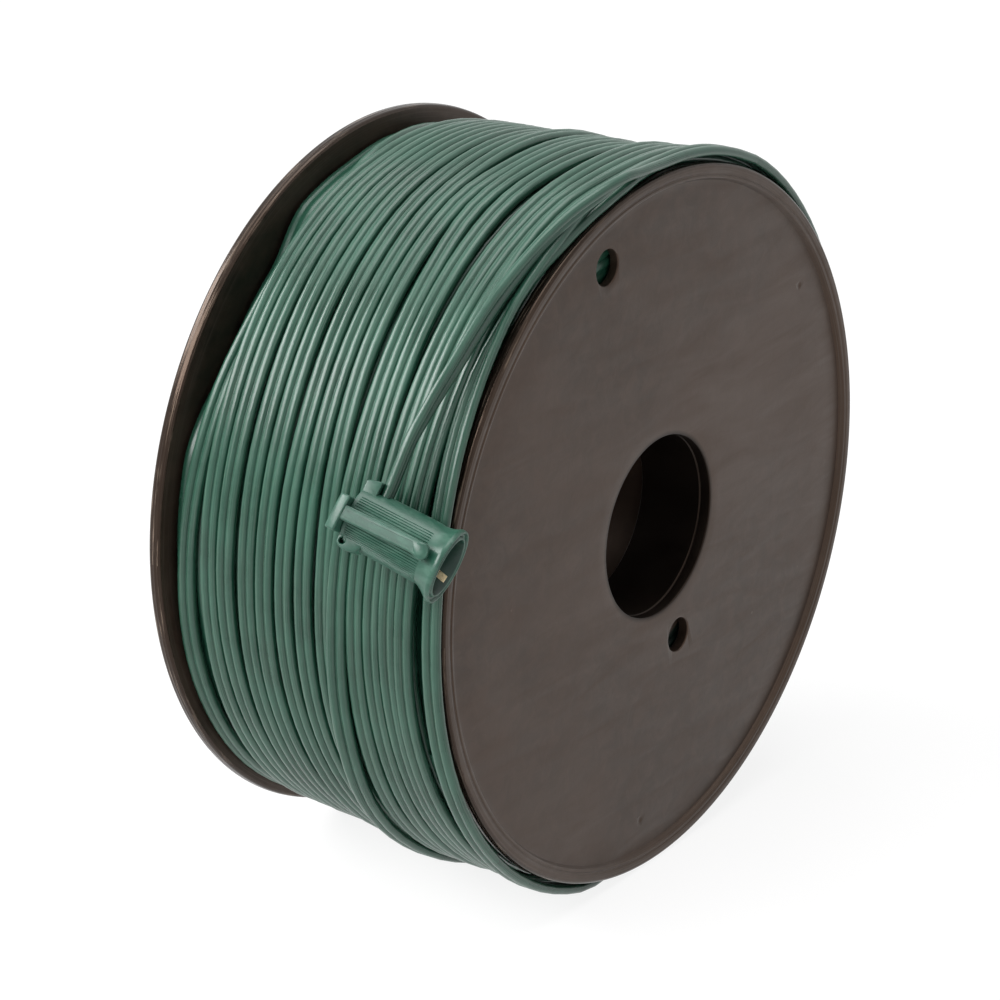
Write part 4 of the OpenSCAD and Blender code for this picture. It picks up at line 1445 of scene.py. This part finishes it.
    def ring_tree(self) -> bpy.types.NodeTree:
        """Nodes that repeat a rib round the barrel, leaving out the smooth band under the hood."""
        g = GeometryLayout("grip_ribs", {"Count": "Int", "Radius": "Float", "Smooth Band": "Float"})
        ring = g.add("GeometryNodeMeshCircle", {"Vertices": g.source["Count"], "Radius": g.source["Radius"]})
        spot = g.add("GeometryNodeInputPosition").outputs[0]
        band = g.times(g.source["Radius"], g.source["Smooth Band"])
        ribbed = g.add("FunctionNodeCompare", {0: g.parts(spot)[0], 1: band}, data_type="FLOAT", operation="LESS_THAN")
        heading = g.add("FunctionNodeAlignRotationToVector", {"Vector": spot}, axis="X", pivot_axis="Z")
        spread = g.add("GeometryNodeInstanceOnPoints", {
            "Points": ring.outputs[0], "Selection": ribbed.outputs[0],
            "Instance": g.source["Geometry"], "Rotation": heading.outputs[0],
        })
        return g.close(spread.outputs[0])

    def grip_ribs(self) -> bpy.types.Object:
        """Builds the fine ribs along the barrel."""
        low, high = -self.body_len + 1.0, -self.flare + 0.3
        rows, rise = 5, self.front_r - self.barrel_r
        stations = [low, low + 0.25, low + 0.6, high - 0.6, high - 0.25, high]
        heights = [0.0, 0.18, 0.26, 0.26 + rise * 0.95, 0.2 + rise, 0.08 + rise]
        pts, faces = [], []
        for z, h in zip(stations, heights):
            for k in range(rows):
                a = math.pi * k / (rows - 1)
                pts.append(Vector((h * math.sin(a) - 0.12 * (1 - math.sin(a)), 0.2 * math.cos(a), z)) * MM)
        for i in range(len(stations) - 1):
            a, b = i * rows, (i + 1) * rows
            faces += [(a + k, a + k + 1, b + k + 1, b + k) for k in range(rows - 1)]
            faces.append((a + rows - 1, a, b, b + rows - 1))
        faces.append(tuple(range(rows)))
        faces.append(tuple(range(len(pts) - 1, len(pts) - rows - 1, -1)))
        obj = mesh_object("grip_ribs", pts, faces)
        radius = (self.barrel_r - 0.03) * MM
        grow(obj, self.ring_tree(), {
            "Count": self.rib_count, "Radius": radius, "Smooth Band": 0.62, "Finish": self.finish,
        })
        for v in obj.data.vertices:
            v.co = self.at(*(v.co / MM)) * MM
        return tidy_mesh(obj, 60.0, 1e-9)

    def thread(self) -> bpy.types.Object:
        """Builds the lamp's screw thread in the bore as a swept helix."""
        low, high = -self.floor + 1.2, -self.cup_deep - 0.6
        turns = (high - low) / self.thread_pitch
        count = int(turns * 48)
        path = []
        for i in range(count + 1):
            sunk = 0.45 * (1.0 - ease(i / 20) * ease((count - i) / 20))
            path.append(self.spin_place(
                self.thread_r + 0.28 + sunk, 360.0 * turns * i / count, low + (high - low) * i / count
            ))
        g = GeometryLayout("thread_sweep", {"Ridge Radius": "Float"})
        curve = g.add("GeometryNodeMeshToCurve", {"Mesh": g.source["Geometry"]})
        ring = g.add("GeometryNodeCurvePrimitiveCircle", {"Resolution": 8, "Radius": g.source["Ridge Radius"]})
        sweep = g.add("GeometryNodeCurveToMesh", {
            "Curve": curve.outputs[0], "Profile Curve": ring.outputs[0], "Fill Caps": True,
        })
        obj = path_object("lamp_thread", path)
        grow(obj, g.close(sweep.outputs[0]), {"Ridge Radius": self.ridge_r * MM, "Finish": self.finish})
        return tidy_mesh(obj, 80.0, 1e-9)

    def cap(self) -> bpy.types.Object:
        """Builds the rear cap with its clip finger."""
        clip_in = self.barrel_r + 1.6
        clip_out = clip_in + 1.9
        rear, bend = -self.body_len - self.cap_t, 2.6
        half, tip, bulb, end, root = self.finger_half, self.finger_tip, self.bulb, self.finger_end, self.finger_root

        def across_x(a: float, b: float, c: float) -> Vector:
            """Puts a point of a slab that is drawn from the clip's direction to the mouth's."""
            return self.at(c, a, b)

        plate = [(-self.barrel_r + 0.4, rear), (clip_out - bend, rear)]
        plate += arc(clip_out - bend, rear + bend, bend, -90, 0, 8)[1:]
        plate += [(clip_out, -self.body_len), (-self.barrel_r + 0.4, -self.body_len)]
        low, high = self.cap_off - self.cap_half, self.cap_off + self.cap_half
        obj = prism("holder_cap", plate, low, high, across_x, 0.45)
        finger = [(root - half, rear + bend), (end - half, tip - 2.6 * bulb), (end - half, tip - 1.9 * bulb)]
        finger += arc(end, tip - bulb, bulb, 160, 20, 18)
        finger += [(end + half, tip - 1.9 * bulb), (end + half, tip - 2.6 * bulb), (root + half, rear + bend)]
        boolean(obj, prism("finger", finger, clip_in, clip_out - 0.25, self.upright, 0.45), Cut.JOIN)
        # boss under the finger's tip and rounded thumb pad on it
        boss = [(0.0, -1.0), (1.2, -1.0), (1.7, -0.7), (1.9, 0.5), (0.0, 0.5)]
        pad = [(0.0, 0.1), (0.9, 0.06), (1.5, -0.05), (1.9, -0.3), (2.05, -0.6), (0.0, -0.6)]
        for name, shape, base in (("boss", boss, clip_in), ("pad", pad, clip_out)):
            section = [(r, base + h) for r, h in shape]
            boolean(obj, lathe(name, section, self.about(end, tip - bulb), 32), Cut.JOIN)
        # two fine lines along the finger
        rear_z, front_z, fine = -self.body_len + 1.0, tip - 2.1 * bulb, 0.13
        for offset in (-0.85, 0.75):
            a, b = root + offset, end + offset
            line = [(a - fine, rear_z), (a + fine, rear_z), (b + fine, front_z), (b - fine, front_z)]
            boolean(obj, prism("line", line, clip_out - 0.42, clip_out + 1.0, self.upright), Cut.TAKE)
        return painted(tidy_mesh(obj, 32.0, 5e-8), self.finish)

    def side_strip(self) -> bpy.types.Object:
        """Builds the brass strip down the side of the bore, with its foot and prong."""
        turn = math.radians(self.strip_angle)
        cup, thread, deep, floor, gauge = self.cup_r, self.thread_r, self.cup_deep, self.floor, self.gauge
        outline = [
            (cup - 0.38, -1.0), (cup - 0.85, -deep + 0.5), (thread, -deep + 0.1), (thread, -floor), (1.6, -floor),
            (1.6, -floor - gauge), (thread + gauge, -floor - gauge), (thread + gauge, -deep - 0.1),
            (cup - 0.4, -deep + 0.4), (cup + 0.02, -1.0),
        ]

        def put(a: float, b: float, c: float) -> Vector:
            """Puts a point of the strip on its side of the bore."""
            x = a * math.cos(turn) - c * math.sin(turn)
            y = a * math.sin(turn) + c * math.cos(turn)
            return self.at(x, y, b)

        return painted(prism("side_strip", outline, -self.strip_half, self.strip_half, put, 0.08, 2), self.brass)

    def centre_pip(self) -> bpy.types.Object:
        """Builds the centre contact at the bottom of the bore."""
        shape = [(0.0, -0.4), (1.3, -0.4), (1.3, 0.02), (1.0, 0.16), (0.5, 0.3), (0.0, 0.34)]

        def put(r: float, angle: float, height: float) -> Vector:
            """Puts a point of the pip beside the holder's own axis."""
            return self.spin_place(r, angle, height) + self.axis_y * self.pip_off

        return painted(lathe("centre_pip", [(r, h - self.floor) for r, h in shape], put, 32), self.brass)


# ---- studio ----


@dataclass
class Studio:
    """Camera, floor, lamps and the white surround."""

    eye: Triple = (-0.895452, -0.629146, 0.436348)
    right: Triple = (0.5779, -0.8161, 0.0)
    back: Triple = (-0.757, -0.536, 0.3727)
    lens: float = 152.56
    ground: float = -0.1006
    surround: float = 0.1
    # name, direction from the reel, distance, width and height in metres, watts
    lamps: tuple[tuple[str, Triple, float, Pair, float], ...] = (
        ("left_softbox", (-0.62, 0.50, 0.63), 1.6, (2.4, 0.62), 50.0),
        ("front_softbox", (-0.15, -0.9, 0.55), 1.8, (1.2, 1.0), 2.6),
        ("top_softbox", (0.1, 0.0, 1.0), 1.7, (1.3, 1.3), 20.0),
    )

    def camera(self) -> bpy.types.Object:
        """Places the camera and makes it the scene's own."""
        data = bpy.data.cameras.new("camera")
        data.lens = self.lens
        data.sensor_width = 36.0
        data.clip_end = 50.0
        obj = bpy.data.objects.new("camera", data)
        bpy.context.scene.collection.objects.link(obj)
        right = Vector(self.right).normalized()
        back = Vector(self.back)
        back = (back - right * back.dot(right)).normalized()
        up = back.cross(right)
        turn = Matrix((right, up, back)).transposed().to_4x4()
        obj.matrix_world = Matrix.Translation(self.eye) @ turn
        bpy.context.scene.camera = obj
        return obj

    def floor(self) -> bpy.types.Object:
        """Lays the white floor."""
        n, half = 24, 6.0
        pts = [
            ((i / n * 2 - 1) * half, (j / n * 2 - 1) * half, self.ground) for i in range(n + 1) for j in range(n + 1)
        ]
        faces = [
            (i * (n + 1) + j, (i + 1) * (n + 1) + j, (i + 1) * (n + 1) + j + 1, i * (n + 1) + j + 1)
            for i in range(n) for j in range(n)
        ]
        obj = mesh_object("studio_floor", pts, faces)
        obj.data.materials.append(StudioWhite().material())
        return obj

    def lamp(self, name: str, towards: Sequence[float], distance: float, size: Pair, watts: float) -> None:
        """Hangs one soft lamp that looks at the reel.

        Args:
            name: its name.
            towards: direction from the reel to the lamp.
            distance: how far away it hangs, m.
            size: its width and height, m.
            watts: its power.
        """
        data = bpy.data.lights.new(name, "AREA")
        data.shape = "RECTANGLE"
        data.size, data.size_y = size
        data.energy = watts
        obj = bpy.data.objects.new(name, data)
        bpy.context.scene.collection.objects.link(obj)
        way = Vector(towards).normalized()
        obj.matrix_world = Matrix.Translation(way * distance) @ way.to_track_quat("Z", "Y").to_matrix().to_4x4()

    def world(self) -> None:
        """Makes the surround: white where it is seen, softer where it lights."""
        world = bpy.data.worlds.new("surround")
        world.use_nodes = True
        n = TreeLayout(world.node_tree)
        level = n.span(n.seen_rays(), 0.0, 1.0, self.surround, 1.0)
        sky = n.add("ShaderNodeBackground", {"Color": (1, 1, 1, 1), "Strength": level})
        n.add("ShaderNodeOutputWorld", {0: sky.outputs[0]})
        bpy.context.scene.world = world

    def build(self) -> None:
        """Sets up the studio."""
        bpy.context.scene.view_settings.view_transform = "Standard"
        self.floor()
        self.world()
        for lamp in self.lamps:
            self.lamp(*lamp)


def dress(obj: bpy.types.Object, slot: str, *nodes: str) -> bpy.types.Object:
    """Makes a piece ride on the reel and stand for its CAD nodes.

    Args:
        obj: the piece.
        slot: not used.
        nodes: the CAD nodes that it replaces.

    Returns:
        The piece.
    """
    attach(obj, BODY)
    if nodes:
        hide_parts(*nodes)
    LOG.info("%s: %d faces for %s", obj.name, len(obj.data.polygons), ", ".join(nodes) or "no node")
    return obj


def main() -> None:
    """Builds the camera and the free cord, then the wound cord, the reel and the lampholder."""
    logging.basicConfig(level=logging.INFO, format="%(name)s %(message)s")
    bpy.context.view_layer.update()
    studio = Studio()
    studio.camera()

    plastic = ReelPlastic().material()
    sheath = CordSheath().material()
    moulded = HolderPlastic().material()
    brass = ContactBrass().material()

    holder = Lampholder(moulded, brass)
    cord = FlatCord()
    free_end, path = FreeEnd(cord, sheath, holder).build()
    dress(free_end, "cord_sheath", "cord_tail")

    body = dress(holder.body(), "holder_plastic", "socket_body")
    ribs = dress(holder.grip_ribs(), "holder_plastic", "socket_body")
    thread = dress(holder.thread(), "holder_plastic", "socket_body")
    cap = dress(holder.cap(), "holder_plastic", "clip_cap")
    strip = dress(holder.side_strip(), "contact_brass", "side_contact")
    pip = dress(holder.centre_pip(), "contact_brass", "centre_contact")

    outer, under, bulk = Winding(cord, sheath).build()
    dress(outer, "cord_sheath", "winding_outer")
    dress(under, "cord_sheath", "winding_core")
    dress(bulk, "cord_sheath", "winding_core")
    dress(Flange(plastic, Side.NEAR).build(), "reel_plastic", "front_flange")
    dress(Flange(plastic, Side.FAR).build(), "reel_plastic", "rear_flange")
    dress(Drum(plastic).build(), "reel_plastic", "barrel")
    studio.build()


if __name__ == "__main__":
    main()
